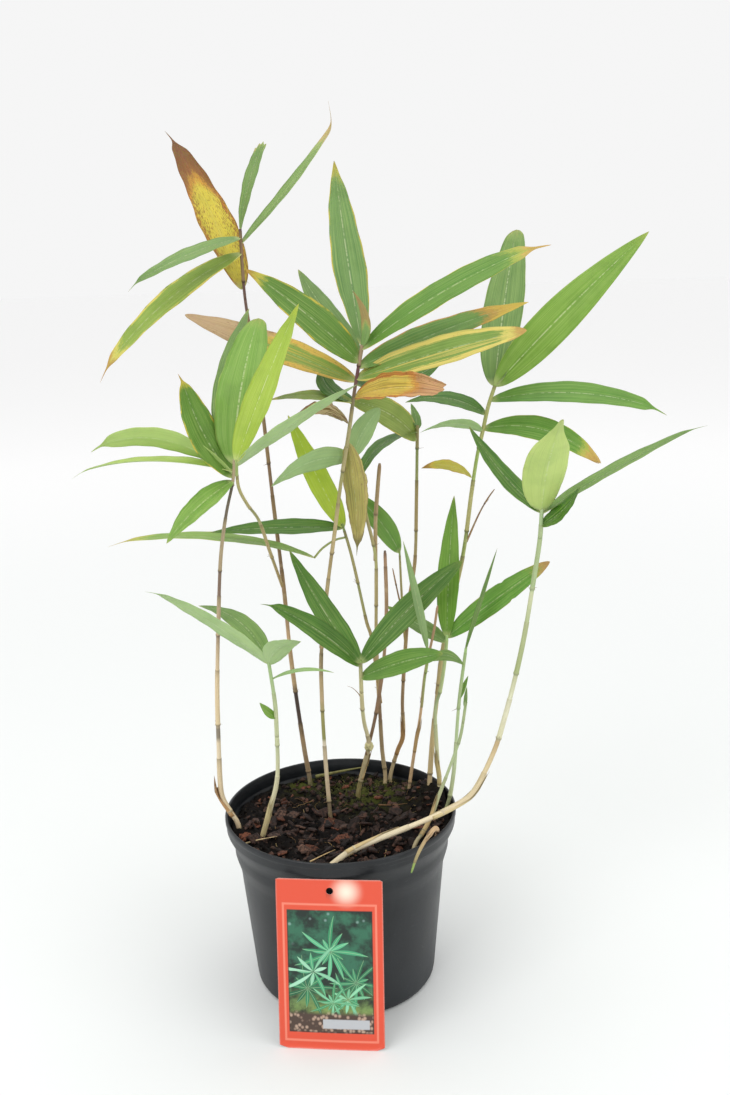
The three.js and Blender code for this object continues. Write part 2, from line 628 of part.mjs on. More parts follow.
// Plant card: a sheet with rounded corners and a punched hole, its lower edge on the ground and its upper
// edge against the pot just under the rim
function makeCard() {
  const { width, height, thickness, corner, hole } = CARD;
  const shape = new THREE.Shape();
  const half = width / 2;
  shape.moveTo(-half + corner, 0);
  shape.lineTo(half - corner, 0);
  shape.absarc(half - corner, corner, corner, -Math.PI / 2, 0);
  shape.lineTo(half, height - corner);
  shape.absarc(half - corner, height - corner, corner, 0, Math.PI / 2);
  shape.lineTo(-half + corner, height);
  shape.absarc(-half + corner, height - corner, corner, Math.PI / 2, Math.PI);
  shape.lineTo(-half, corner);
  shape.absarc(-half + corner, corner, corner, Math.PI, Math.PI * 1.5);
  const punched = new THREE.Path();
  punched.absarc(0.5, height - 8, hole, 0, Math.PI * 2);
  shape.holes.push(punched);
  const card = new THREE.ExtrudeGeometry(shape, { depth: thickness, bevelEnabled: false, curveSegments: 4 });
  const lean = Math.asin(CARD.lean / height);
  card.rotateX(Math.PI / 2 - lean);
  card.rotateZ(THREE.MathUtils.degToRad(CARD.yaw));
  card.translate(CARD.middle[0], CARD.middle[1], 0);
  card.computeBoundingBox();
  card.translate(0, 0, -card.boundingBox.min.z);
  return card;
}

const model = new THREE.Group();
model.add(part('pot', makePot(), 'pot'));
model.add(part('soil', makeSoil(), 'soil'));
model.add(part('plant_card', makeCard(), 'card'));
for (const [stem, { on }] of Object.entries(STEMS)) {
  if (!on) model.add(part(`culm_${stem}`, makeCulm(stem), 'culm'));
}
for (const [name, fan] of Object.entries(FANS)) model.add(part(name, makeFan(fan), fan.look));
for (const [name, { row, look, standOut }] of Object.entries(SINGLE_BLADES)) {
  model.add(part(name, toGeometry(blade(row, standOut)), look));
}

export default model;
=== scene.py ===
"""Potted dwarf bamboo: a nursery pot of peat, jointed culms, fans of blades and a plant card that leans
on the pot."""
import math
from collections import namedtuple
from functools import partialmethod

import bpy
import numpy as np
from bpy.props import FloatProperty, FloatVectorProperty, IntProperty, PointerProperty
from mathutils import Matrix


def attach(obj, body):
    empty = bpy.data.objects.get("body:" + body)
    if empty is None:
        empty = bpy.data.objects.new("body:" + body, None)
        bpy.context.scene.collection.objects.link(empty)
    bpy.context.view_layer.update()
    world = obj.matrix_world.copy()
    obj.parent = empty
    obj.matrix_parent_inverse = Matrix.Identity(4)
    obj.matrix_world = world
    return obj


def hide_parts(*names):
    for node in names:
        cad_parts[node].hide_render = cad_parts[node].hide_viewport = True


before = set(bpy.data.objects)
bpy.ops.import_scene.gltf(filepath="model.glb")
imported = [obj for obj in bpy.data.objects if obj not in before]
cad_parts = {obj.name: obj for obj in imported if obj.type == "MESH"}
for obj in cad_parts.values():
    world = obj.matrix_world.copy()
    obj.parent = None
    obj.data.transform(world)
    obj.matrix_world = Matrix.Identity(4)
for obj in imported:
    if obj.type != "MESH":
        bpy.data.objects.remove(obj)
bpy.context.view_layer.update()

bl_info = {
    "name": "Potted dwarf bamboo",
    "version": (1, 0, 0),
    "blender": (4, 5, 0),
    "location": "View3D > Sidebar > Bamboo",
    "description": "Makes a potted dwarf bamboo: pot, peat, culms, leaf fans and plant card, and its stage",
    "category": "Add Mesh",
}

MM = 0.001
UP = np.array([0.0, 0.0, 1.0])

# Pot, in millimetres
RIM_RADIUS = 84
POT_HEIGHT = 131
BASE_RADIUS = 66.5
SHOULDER_RADIUS = 74.4
NECK_RADIUS = 78
WALL = 1.6
FLOOR = 2.4
DRAIN = {"count": 6, "circle": 46, "radius": 4.5, "turn": 0.3, "sides": 28, "heights": (-3, 6)}

# Peat, in millimetres: its level, the height under which a rooted stem starts, its facets round, heaps
# (middle, height, spread), mossy places (middle, square of the breadth), the middle and spread of the hairs
# of moss, and the seeds and colours of what lies on it
SOIL_LEVEL = 119
ROOTED_BELOW = 118
PEAT_SECTORS = 160
HEAPS = [(72, 30, 13, 17), (-74, -14, 5, 12), (-2, -70, 5, 12)]
MOSS = [(22, 45, 700), (-30, 66, 260)]
MOSS_HAIRS = ((16, 50), (17, 11))
BARK_SEED = 11
LITTER_SEED = 23
BARK_TONES = ("3a2a24", "4c362e", "604438", "2b1e1a", "6e5244", "402c24", "84503a")
ROOTLET_TONES = ("8f7448", "6f5436", "a08a60", "4d3826")
MOSS_TONES = ("4a4f1e", "5f632c", "7a7440", "39401a")

# Bark chip, as layers of (level as a share of its thickness, scale of its outline), and peat crumb, as rings
# of (radius, height)
CHIP_LAYERS = ((-0.5, 0.82), (-0.25, 1.0), (0.25, 0.98), (0.5, 0.8))
CHIP_SIDES = 6
CRUMB_RINGS = ((0.45, -0.8), (1.0, -0.1), (0.8, 0.55), (0.25, 0.9))
CRUMB_SIDES = 5

# Twigs that lie on the peat: way points in millimetres, radius at the thick end, and colour
TWIGS = [
    ([(-21, 69, 122.5), (-9, 71, 124), (4, 73, 125.5), (16, 74, 127), (21, 75, 128)], 1.5, "7c7a48"),
    ([(-67, -33, 121), (-57, -31, 122.5), (-45, -29, 123.5)], 0.7, "cdb78c"),
    ([(-20, -68, 124.5), (-12, -62, 125.5), (-3, -57, 127)], 0.6, "c4a878"),
    ([(28, 20, 121), (38, 16, 122.5), (50, 17, 123)], 0.5, "7c5c3c"),
    ([(-30, -30, 121), (-18, -33, 122), (-8, -31, 122)], 0.4, "4f3626"),
]

# Plant card, in millimetres and degrees; its mesh has this many rays and rings round the punched hole
CARD = {"width": 72, "height": 120, "thickness": 0.8, "lean": 15.5, "middle": (-9, -97.6), "yaw": -6,
        "corner": 1, "punched": (0.5, 112), "hole": 2.4, "rays": 96, "rings": 30, "aspect": 1.667}

# Sprays of leaves in its picture: middle, number of leaves, reach, width, turn, dark and light colour
SPRAYS = (
    (0.28, 0.36, 11, 0.34, 0.020, 0.2, "1b5c3c", "2f8458"),
    (0.74, 0.40, 13, 0.34, 0.018, 0.7, "226c46", "3f9668"),
    (0.50, 0.58, 12, 0.38, 0.021, 0.4, "2f8a5c", "5cb888"),
    (0.66, 0.30, 10, 0.30, 0.017, 0.1, "3c9668", "86cfa4"),
    (0.34, 0.46, 9, 0.36, 0.019, 0.9, "46a474", "a3dcbc"),
    (0.52, 0.28, 12, 0.26, 0.015, 0.5, "2f8a58", "74c498"),
)

# A stem: radius at the foot and the top, height where the leafy part starts, way points in millimetres,
# the stem that it grows on, and whether all of it is leafy
Stem = namedtuple("Stem", "radius split points on leafy", defaults=("", False))

STEMS = {
    "a": Stem((1.7, 0.95), 494, [
        (-25, 62, 98), (-25, 61, 122), (-28, 57, 151), (-32, 54, 193), (-35, 50, 235), (-37, 46, 283),
        (-41, 41, 345), (-45, 38, 411), (-49, 36, 456), (-53, 36, 492), (-54, 36, 519), (-54, 36, 541)]),
    "c": Stem((1.2, 0.9), 386, on="a", points=[
        (-38, 46, 286), (-44, 22, 319), (-48, -6, 348), (-53, -28, 364), (-56, -48, 380),
        (-55, -61, 399)]),
    "b": Stem((1.8, 0.9), 378, [
        (-71, -14, 104), (-74, -14, 126), (-79, -14, 136), (-84, -13, 147), (-85, -13, 161),
        (-84, -15, 192), (-82, -19, 231), (-77, -27, 285), (-72, -35, 329), (-66, -40, 360),
        (-60, -44, 382), (-58, -45, 397)]),
    "f": Stem((1.4, 1.15), 395, [
        (-7, 4, 98), (-8, 5, 121), (-10, 9, 164), (-11, 13, 209), (-10, 16, 246), (-4, 16, 292),
        (3, 13, 335), (8, 7, 367), (15, 1, 404), (20, -4, 434), (26, -4, 464)]),
    "v": Stem((1.5, 1), 372, [
        (30, 54, 100), (34, 60, 122), (32, 57, 151), (31, 52, 192), (30, 46, 242), (31, 40, 285),
        (31, 36, 310), (26, 30, 338), (21, 24, 363), (17, 18, 387)]),
    "e": Stem((1.3, 0.9), 300, on="v", points=[
        (32, 54, 189), (27, 46, 241), (23, 42, 259), (17, 36, 294), (13, 32, 315), (8, 28, 336)]),
    "u": Stem((1.5, 1.2), None, on="v", points=[
        (31, 37, 306), (32, 38, 336), (34, 39, 358), (36, 39, 377)]),
    "g": Stem((1.45, 1.1), 380, [
        (38, 61, 102), (38, 65, 122), (44, 66, 143), (49, 65, 158), (49, 64, 187), (52, 63, 228),
        (56, 64, 267), (61, 66, 298), (63, 68, 343), (65, 70, 399)]),
    "h": Stem((0.9, 0.7), 300, on="g", points=[
        (52.5, 63, 230), (51, 60, 250), (50, 56, 276), (49, 50, 310)]),
    "x": Stem((0.9, 0.4), None, on="g", points=[
        (53, 63, 246), (50, 65, 260), (47, 66, 275), (44, 66, 292)]),
    "k": Stem((1.8, 1.2), 358, [
        (66, 30, 106), (67, 31, 132), (70, 34, 166), (75, 38, 204), (82, 42, 250), (95, 44, 305),
        (102, 45, 353), (106, 44, 379), (110, 43, 397), (114, 42, 415), (119, 42, 430)]),
    "z": Stem((0.8, 0.4), None, on="k", points=[
        (98, 45, 316), (106, 38, 337), (112, 35, 349), (117, 32, 357)]),
    "m": Stem((2, 1.4), 332, [
        (-18, -73, 114), (-2, -67, 124), (8, -61, 128), (26, -52, 131), (60, -38, 137), (86, -28, 145),
        (97, -24, 154), (110, -20, 179), (117, -18, 200), (125, -17, 231), (132, -16, 264),
        (138, -16, 302), (142, -17, 331), (143, -18, 353)]),
    "n": Stem((1.8, 1.2), 215, [
        (12, 36, 101), (13, 35, 125), (19, 31, 151), (22, 27, 168), (19, 20, 188), (18, 12, 208),
        (18, 2, 242)]),
    "w": Stem((1.3, 1.2), None, on="n", points=[
        (20, 29, 158), (26, 28, 182), (30, 29, 201), (35, 31, 232), (38, 33, 270), (38, 34, 314)]),
    "o": Stem((1.6, 1.2), 205, [
        (-61, -16, 100), (-56, -22, 120), (-48, -28, 147), (-42, -34, 173), (-40, -44, 215),
        (-40, -48, 234), (-42, -56, 264)]),
    "p": Stem((1.5, 1.1), 235, [
        (68, 23, 106), (74, 26, 132), (73, 27, 153), (72, 26, 192), (76, 24, 210), (79, 21, 231),
        (81, 18, 254)]),
    "r": Stem((1.5, 1), 200, [
        (70, 5, 102), (79, 5, 128), (83, 4, 150), (85, 4, 171), (88, 3, 210), (93, 2, 249)]),
    "s": Stem((1.4, 0.9), 200, [
        (46, -52, 104), (52, -45, 122), (58, -35, 126), (65, -26, 134), (71, -20, 147), (81, -18, 173),
        (87, -17, 191), (91, -17, 216)]),
    "y": Stem((1.2, 0.9), None, [
        (49, 34, 98), (51, 35, 122), (57, 32, 163), (61, 28, 189), (65, 22, 225), (71, 15, 257),
        (74, 12, 278)]),
    "j": Stem((1, 0.8), 224, on="y", points=[
        (62, 26, 196), (64, 16, 221), (66, 9, 238), (66, 5, 249)]),
    "t": Stem((1.9, 0.8), None, [
        (62, -28, 104), (68, -35, 122), (66, -50, 137), (58, -66, 136), (52, -74, 129), (48, -77, 119)]),
    "d": Stem((0.8, 0.8), None, on="e", leafy=True, points=[
        (10, 29, 326), (2, 29, 324), (-7, 30, 318), (-13, 31, 311)]),
}

# Joints of the stems: distance of the first ring from the foot and of the last from the top, longest and
# shortest internode, the swelling of a ring, and how wide the sheath above it is and how far it reaches,
# as in the solids
NODE = {"first": 34, "last": 12, "longest": 75, "shortest": 48, "swell": 1.3, "sheath": 1.13, "reach": 0.62}

# Steps from each ring, and from the end of its sheath, at which a stem has a row of points
RING_STEPS = (-3, -1.6, -0.9, -0.4, 0, 0.5, 1.2, 2)
SHEATH_STEPS = (-0.5, -0.1, 0.1, 0.6)
STEM_SIDES = 14

# Stems on which rings and sheaths hardly differ in colour
YOUNG_STEMS = "morsp"

# Dry sheaths: stem, distance along it, length, flare at the top, turn and colour
PAPERY = [
    ("b", 30, 26, 2.6, 3.0, "b58e60"), ("m", 95, 46, 0.9, 0.3, "d6c594"), ("m", 28, 40, 0.8, 2.0, "cdb583"),
    ("n", 36, 26, 1.0, 1.0, "cbb07c"), ("o", 20, 34, 0.7, 4.2, "d6c794"), ("s", 30, 30, 0.6, 3.5, "c9b07c"),
    ("t", 36, 22, 0.5, 5.0, "cfae84"), ("f", 150, 30, 0.6, 0.5, "c8b080"), ("v", 96, 34, 0.8, 2.4, "b89866"),
    ("g", 40, 30, 0.6, 4.0, "b08a58"), ("k", 96, 36, 0.7, 1.2, "bfa874"), ("y", 60, 26, 0.7, 5.2, "b89866"),
    ("p", 28, 26, 0.7, 4.0, "c2b078"),
]

# Swollen knot (middle, size, seed, colour) and dry stalk (way points, radius, colour), by culm
KNOTS = {"n": ((22, 27.5, 165), 2.9, 4, "c6bf8c")}
STALKS = {"n": ([(18, 12, 208), (16, 9, 214), (12, 8, 219), (8, 8, 221)], 0.45, "a3835c")}

# Colours of each stem: that of its sheaths, then stops along it, each a share of the length and a colour
STEM_COLOURS = {
    "a": ("ab9068", "0 4c5030, 0.055 77704c, 0.075 b39c80, 0.145 b09474, 0.155 5a4a3e, 0.24 463a34, "
           "0.248 d0b48c, 0.34 c4a47c, 0.4 8a6e52, 0.62 8c6f52, 0.8 74584a, 1 5a3e3e"),
    "c": ("c0ab7c", "0 b39a6a, 0.6 a5a36c, 1 8fa75c"),
    "b": ("d8c49c", "0 c9a878, 0.12 e0d0b0, 0.3 e0d0b0, 0.31 8c8270, 0.335 8c8270, 0.345 dccaa4, "
           "0.55 c4ae8c, 0.62 8a7062, 1 6d6654"),
    "f": ("d0bd90", "0 6c5c44, 0.08 84745a, 0.1 a08e74, 0.108 d6bea8, 0.215 e0d4bc, 0.222 8f9050, "
           "0.29 a49c60, 0.3 ccb08c, 0.345 b4986e, 0.355 6e5644, 0.39 8a7050, 0.42 b8a274, 0.6 b5a070, "
           "0.85 98a064, 0.94 7c5054, 1 6e4448"),
    "v": ("c0ac80", "0 8a7d50, 0.06 cdb890, 0.17 c4ac84, 0.18 7d6450, 0.28 8f7458, 0.5 bca878, 0.85 a8b070, "
           "1 96b06c"),
    "e": ("c0ab7c", "0 b0905c, 0.6 a0a068, 1 8aa35c"),
    "u": ("b59a72", "0 b0976c, 0.8 c4ae84, 1 8c6a4c"),
    "g": ("b89c70", "0 8f8256, 0.08 d6c298, 0.24 ccb486, 0.26 9c805c, 0.6 ab9066, 0.9 98a064, 1 859a5a"),
    "h": ("c0ab7c", "0 a88d5a, 1 8ca35c"),
    "x": ("a98660", "0 a5835a, 1 8a6a48"),
    "k": ("c4b282", "0 a18152, 0.05 cdb78e, 0.25 c2ac7c, 0.6 acb46c, 1 94b65c"),
    "z": ("a08058", "0 a08058, 1 7c5c44"),
    "m": ("e4d8b0", "0 ddc9a0, 0.14 ecdfc0, 0.3 ecdcb8, 0.46 e6d2a4, 0.5 d8bc8c, 0.51 dfdfb8, 0.57 e8e8cc, "
           "0.645 d4d6ac, 0.655 9cb074, 0.74 a8b884, 0.82 ccd0a8, 0.84 a8c48c, 1 b4cc98"),
    "n": ("dccba0", "0 5c5c34, 0.2 8f8256, 0.42 a3966a, 0.46 e0d2aa, 0.8 cdd096, 1 9ab766"),
    "w": ("a68868", "0 8f7452, 0.3 6e5240, 0.45 a08060, 0.8 a98a6c, 0.96 a08064, 1 5a4438"),
    "o": ("e0d8b4", "0 a37c4c, 0.16 e4d4b0, 0.45 dedcb4, 0.6 c4cca0, 1 9ab87c"),
    "p": ("c8c494", "0 a58c5c, 0.12 cdbc94, 0.4 c0c49a, 1 a0c078"),
    "r": ("b8c494", "0 a5a068, 0.4 b4c49a, 1 9cba78"),
    "s": ("b8b88c", "0 c4ac84, 0.3 b0ac84, 0.6 aebc90, 1 a0b880"),
    "y": ("bc9c74", "0 a58558, 0.1 d0b68e, 0.5 c4a47c, 0.7 b89470, 1 b08e6c"),
    "j": ("a8b470", "0 a8a068, 1 90b060"),
    "t": ("c9a888", "0 d0b890, 0.35 c7a688, 0.6 b08a68, 0.75 a89c60, 1 8cae58"),
    "d": ("a8b068", "0 9aa868, 1 a8b068"),
}

# Looks of the blades: middle, margin and tip colours, width of the margin, share where the tip colour
# starts, amount of specks, and dryness. The middle greens are partly each blade's own colour and partly
# painted light and shade: lighter where a blade faces the light, darker where it lies in shade.
LOOKS = {
    "mid": ("6f9150", "b4bf70", "c9b47c", 0.03, 0.985, 0.05, 0.0),
    "deep": ("3c7018", "93a556", "c2ad70", 0.03, 0.985, 0.0, 0.0),
    "fresh": ("7aa643", "b9c76e", "c9b87c", 0.03, 0.985, 0.0, 0.0),
    "bright": ("82ac40", "c4cf62", "c9b87c", 0.03, 0.985, 0.0, 0.0),
    "light": ("b8d464", "ccd67c", "c9b87c", 0.03, 0.985, 0.0, 0.0),
    "lush_tan": ("5c9630", "c9a860", "c49a68", 0.05, 0.90, 0.3, 0.05),
    "lush": ("6fa232", "a5b850", "c2ad70", 0.03, 0.985, 0.0, 0.0),
    "grassy": ("5f9038", "9cae54", "c2ad70", 0.03, 0.985, 0.0, 0.0),
    "lime": ("a9c43c", "c6cc4c", "c9b06a", 0.05, 0.985, 0.0, 0.0),
    # Painted light: this lime is lighter than the blade's own green, to stand in for light on a blade that
    # lies in shade
    "lime_with_painted_light": ("bcd436", "b9c24c", "c9b06a", 0.05, 0.985, 0.0, 0.0),
    "lime_tan": ("8ba43e", "d6c862", "c08a48", 0.2, 0.87, 0.45, 0.05),
    "olive": ("8f9f4a", "c9b860", "b08f58", 0.14, 0.95, 0.25, 0.1),
    "striped": ("7a9c40", "dccb6c", "cc9c5c", 0.42, 0.92, 0.5, 0.15),
    "yellow_end": ("5c8a32", "c08a3c", "dcc24e", 0.12, 0.80, 0.9, 0.1),
    "yellow_tip": ("93b75a", "ccc462", "d2b850", 0.08, 0.89, 0.1, 0.0),
    "brown_tip": ("6b9052", "d0bc48", "7d5230", 0.10, 0.965, 0.1, 0.0),
    "tan_thread": ("7d9a5c", "b8bd7c", "cbb07c", 0.05, 0.80, 0.1, 0.0),
    "tan_tip": ("5f9032", "d8cc58", "d2a864", 0.06, 0.88, 0.15, 0.0),
    "half_brown": ("6b993c", "c9a050", "b47c40", 0.08, 0.5, 0.5, 0.1),
    "far_margin": ("5a862c", "d0bc48", "b8843c", 0.14, 0.93, 0.3, 0.05),
    "pale": ("b2d092", "b9c48c", "c9b98c", 0.02, 0.985, 0.0, 0.0),
    "soft": ("98ba7a", "a9b980", "c4b488", 0.02, 0.985, 0.0, 0.0),
    # Painted highlight: besides the pale green of a young blade, this colour carries the highlight across the
    # blade's middle
    "young_with_painted_highlight": ("e0f480", "c8d488", "b99a5a", 0.05, 0.975, 0.03, 0.0),
    "mottled": ("93ae3e", "e2b850", "c9aa86", 0.46, 0.60, 1.0, 0.15),
    "autumn": ("e2c840", "bc742c", "845632", 0.26, 0.70, 1.75, 0.2),
    "rust": ("f2c85c", "c07a3a", "d8a87c", 0.35, 0.74, 0.9, 0.5),
    "tan": ("d4b896", "936a48", "a8805c", 0.13, 0.80, 0.5, 1.0),
    "brown": ("c4a64e", "c2a860", "8c6a42", 0.35, 0.84, 0.9, 0.6),
    "speckled": ("dcc844", "c9a83c", "b0823a", 0.20, 0.85, 0.9, 0.2),
}

# Outlines of the blades, as in the solids: where along the blade it is fullest (a low power puts this
# near the root), how full it is, the share of the whole outline at which it ends, and how much it narrows
# before its tip
SHAPES = {
    "point": (0.72, 0.8, 1, 0),
    "lance": (0.85, 0.85, 1, 0),
    "oblong": (0.88, 0.6, 1, 0),
    "blunt": (0.8, 0.6, 0.94, 0),
    "strap": (1, 0.8, 0.75, 0),
    "cut": (0.72, 0.8, 0.84, 0),
    "spear": (0.75, 0.5, 1, 0.6),
}

# A blade: height of the root (None is the stem's end), tip, width, arch, sway and roll, as in the solids,
# the look, the wave of the margins, the fold in degrees, the shape, the end (plain, round, torn, notch,
# or a thread that hangs or curls up), how far the root stands out from the stem's middle, and a stem
# other than the fan's own
Blade = namedtuple("Blade", "root tip width arch sway roll look wave fold shape end stand_out stem",
                   defaults=(0.4, 12, "point", "plain", 0, ""))

# How far an end that runs out in a thread bends up, in millimetres
THREAD_BEND = {"thread": -3.0, "curl": 15.0}

# Blades of each fan, by the node that it stands for
FANS = {
    "leaves_a": [
        Blade(539, (-38, 56, 597), 13, 1, 2, -5, "mid", shape="strap", end="torn"),
        Blade(531, (16, 66, 616), 10, -2, -4, 22, "tan_thread", 0.3, fold=25, end="curl"),
        Blade(535, (-125, -9, 505), 15, 4, 1, -25, "mid", end="thread"),
        Blade(525, (-150, -4, 446), 20, 9, 1, -32, "lime_tan", 0.5, end="thread")],
    "leaves_b": [
        Blade(395, (-40, -20, 484), 36, 3, 2, 7, "fresh", 0.8, fold=10, shape="blunt", end="round"),
        Blade(394, (-49, 15, 489), 26, 5, 7, -25, "mid", 0.5),
        Blade(385, (-91, -29, 452), 26, -4, 2, -20, "far_margin", 0.6, end="thread"),
        Blade(383, (-101, -69, 349), 20, 3, -1, -18, "fresh"),
        Blade(387, (-156, -14, 402), 20, 15, 1, 53, "light", 0.5, shape="oblong", end="thread"),
        Blade(389, (-177, 11, 380), 14, 9, 4, -4, "light", 0.3, fold=25, end="thread")],
    "leaves_c": [
        Blade(398, (-13, -38, 493), 24, 1, 1, 20, "lime", 0.5),
        Blade(395, (22, -80, 446), 16, 2, 1, -25, "pale", fold=15)],
    "leaves_e": [
        Blade(None, (-154, 2, 333), 16, 9, -4, -10, "yellow_tip", fold=15, end="thread", stem="d"),
        Blade(333, (-85, 18, 335), 17, 2, 1, -27, "deep", fold=15),
        Blade(333, (-29, 58, 411), 20, -1, 0, -19, "lime_with_painted_light", fold=10)],
    "leaves_f": [
        Blade(463, (11, 36, 583), 27, 0, 1, 15, "brown_tip", 0.8, shape="lance"),
        Blade(453, (-45, -39, 515), 26, 2, 1, -66, "far_margin", 0.5),
        Blade(461, (145, -29, 526), 21, 6, 0, 48, "tan_tip", 0.5, shape="oblong", end="thread"),
        Blade(442, (128, -50, 473), 25, 2, 3, 49, "striped", 0.6, shape="oblong"),
        Blade(449, (140, 26, 487), 22, 3, -1, 38, "yellow_end", 0.6),
        Blade(462, (21, -12, 499), 7, 0, 6, 0, "half_brown", 0.2),
        Blade(440, (-103, 90, 483), 24, 0, -5, -34, "mottled", 0.6, shape="oblong"),
        Blade(438, (82, 41, 448), 20, -6, 0, 30, "deep"),
        Blade(426, (-39, 16, 427), 14, 4, -1, -21, "olive", 0.3),
        Blade(453, (-17, 56, 513), 20, 1, 2, -9, "mid"),
        Blade(426, (-2, 31, 448), 16, -2, 7, -3, "deep")],
    "leaves_g": [
        Blade(389, (13, 45, 422), 24, 6, 1, -64, "olive", 0.5),
        Blade(394, (19, 30, 360), 15, 9, -7, -2, "deep", fold=15),
        Blade(396, (61, 80, 414), 9, 0, -1, 19, "mid", 0.2)],
    "leaves_h": [
        Blade(308, (11, 62, 355), 16, 5, 2, -62, "grassy")],
    "leaves_k": [
        Blade(429, (141, 97, 536), 31, 1, 1, -8, "mid", 0.6, fold=10, shape="blunt", end="round"),
        Blade(429, (222, 32, 531), 27, 2, 0, 80, "bright", 0.6),
        Blade(419, (237, 27, 409), 19, 9, 1, 43, "grassy", fold=15, shape="oblong", end="thread"),
        Blade(399, (190, 23, 375), 20, 11, 2, 48, "tan_tip", 0.5, shape="oblong", end="torn"),
        Blade(397, (64, 13, 402), 12, 6, 1, 35, "soft", 0.3),
        Blade(409, (56, 62, 417), 16, 7, -2, -29, "deep")],
    "leaves_m": [
        Blade(351, (146, -78, 421), 29, 2, -2, 2, "young_with_painted_highlight", 0.5, fold=25, shape="spear"),
        Blade(350, (97, 7, 406), 16, -3, 1, -23, "deep"),
        Blade(349, (254, -8, 406), 13, 2, 2, 14, "mid", 0.3, fold=20, end="thread"),
        Blade(341, (166, -32, 370), 15, -3, 0, 44, "deep")],
    "leaves_n": [
        Blade(240, (-29, 4, 324), 20, -2, 1, -44, "deep", 0.5),
        Blade(238, (-47, -24, 296), 19, 4, 1, -52, "deep", end="thread"),
        Blade(240, (93, 22, 308), 19, 3, 0, 50, "deep", shape="oblong"),
        Blade(228, (74, -34, 258), 19, 2, 1, 51, "grassy", shape="oblong")],
    "leaves_o": [
        Blade(262, (-114, -76, 322), 15, 3, -2, 43, "pale", end="thread"),
        Blade(262, (-94, 0, 287), 16, 8, -5, -11, "mid"),
        Blade(262, (-18, -91, 289), 16, 4, -3, -39, "pale"),
        Blade(250, (1, -62, 257), 5, 4, 1, 14, "soft", 0.2),
        Blade(220, (-50, -50, 233), 7, -1, 0, -53, "fresh", 0.2)],
    "leaves_p": [
        Blade(252, (90, 53, 349), 18, 0, 1, -18, "lush"),
        Blade(252, (153, 8, 309), 18, 1, 1, 53, "lush_tan", 0.5, shape="oblong", end="notch"),
        Blade(248, (38, 45, 269), 14, 0, -1, -25, "mid")],
    "leaves_j": [
        Blade(247, (50, -4, 330), 6, 0, 1, 53, "mid", 0.2, fold=25),
        Blade(238, (91, -6, 239), 9, 5, 2, 44, "mid", 0.2)],
    "leaves_r": [
        Blade(247, (116, 7, 320), 6, 0, -1, 10, "mid", 0.2, fold=25),
        Blade(210, (95, 8, 226), 6, 0, 0, -8, "fresh", 0.1)],
    "leaves_s": [
        Blade(211, (92, -14, 226), 5, 0, 0, -35, "mid", 0.1)],
    "leaves_v": [
        Blade(386, (37, 28, 418), 17, 2, 1, -90, "soft", shape="oblong"),
        Blade(385, (-37, -27, 375), 17, 7, -1, 71, "soft")],
}

# Single dry or yellow blades, by the node that each stands for
SINGLE_BLADES = {
    "blade_a_autumn": Blade(501, (-106, 81, 611), 31, 2, -3, -6, "autumn", 1.0, end="thread",
                            stand_out=2.2),
    "blade_f_dry_right": Blade(430, (74, -75, 440), 20, 4, 0, 53, "rust", 1.0, fold=30, shape="cut",
                               end="torn", stand_out=2),
    "blade_f_dry_left": Blade(412, (-17, -29, 423), 14, 4, -1, -46, "tan", 0.9, fold=30, end="torn",
                              stand_out=2),
    "blade_f_dry_hanging": Blade(398, (18, 22, 315), 17, 0, -2, 0, "brown", 0.9, fold=20, end="thread",
                                 stand_out=2),
    "blade_k_yellow": Blade(364, (65, 25, 375), 12, 5, 0, -37, "speckled", fold=15, stand_out=2),
}

# Numbers on the points of plain tissue: sheath, width of the margin, share where the tip starts, specks,
# dryness, underside, seed of the grain, and width in units of SPAN_UNIT millimetres
SPAN_UNIT = 20
PLAIN_TISSUE = {"sheath": 0, "margin": 0, "tip_start": 2, "speck": 0, "dry": 0, "under": 0, "grain": 0,
                "span": 1}

# Stage, in metres and degrees: rings and sides of the floor, strength of the surroundings, lights with
# their place, size and share of the main light's power, the place that they point at, and the camera
STAGE_RINGS = 24
STAGE_SIDES = 72
WORLD_STRENGTH = 0.92
LIGHT_AIM = (0, 0, 0.25)
LIGHTS = [("key", (-0.9, -1.1, 1.7), 1.1, 1.0), ("fill", (1.3, -0.9, 1.2), 1.4, 0.5),
          ("top", (0.1, 0.3, 2.2), 1.6, 0.7)]
CAMERA = {"spot": (0.0237, -0.7809, 0.5204), "down": 14.03, "roll": -1.773}


# Colour and vector helpers

def linear(code):
    """Linear colour of a hex code: each channel to the power 2.4 after the usual offset."""
    channels = np.array([int(code[i:i + 2], 16) for i in (0, 2, 4)]) / 255
    return np.where(channels <= 0.04045, channels / 12.92, ((channels + 0.055) / 1.055) ** 2.4)


def rgba(code):
    """A hex colour as four linear channels for a socket."""
    return (*[float(c) for c in linear(code)], 1.0)


def unit(vectors):
    """Vectors divided by their lengths, along the last axis."""
    return vectors / np.maximum(np.linalg.norm(vectors, axis=-1, keepdims=True), 1e-12)


def smooth(x, low, high):
    """0 below low, 1 above high, and 3t squared less 2t cubed between."""
    t = np.clip((x - low) / (high - low), 0, 1)
    return t * t * (3 - 2 * t)


def lumps(x, y, z, seed, size):
    """Soft lumps, mostly between -1 and 1: a third of the sum of six sines in seeded directions, with wave
    lengths near size."""
    random = np.random.default_rng(seed)
    total = 0
    for _ in range(6):
        direction = random.normal(size=3)
        direction *= (2 * math.pi / size) * random.uniform(0.7, 1.4) / np.linalg.norm(direction)
        along = x * direction[0] + y * direction[1] + z * direction[2]
        total = total + np.sin(along + random.uniform(0, 6.28))
    return total / 3


def circle(count):
    """Equal angles round a full turn."""
    return np.linspace(0, 2 * math.pi, count, endpoint=False)


def bell(x, width):
    """1 at zero, falling to both sides as e to minus the square of x over the width."""
    return np.exp(-(x / width) ** 2)


# Meshes

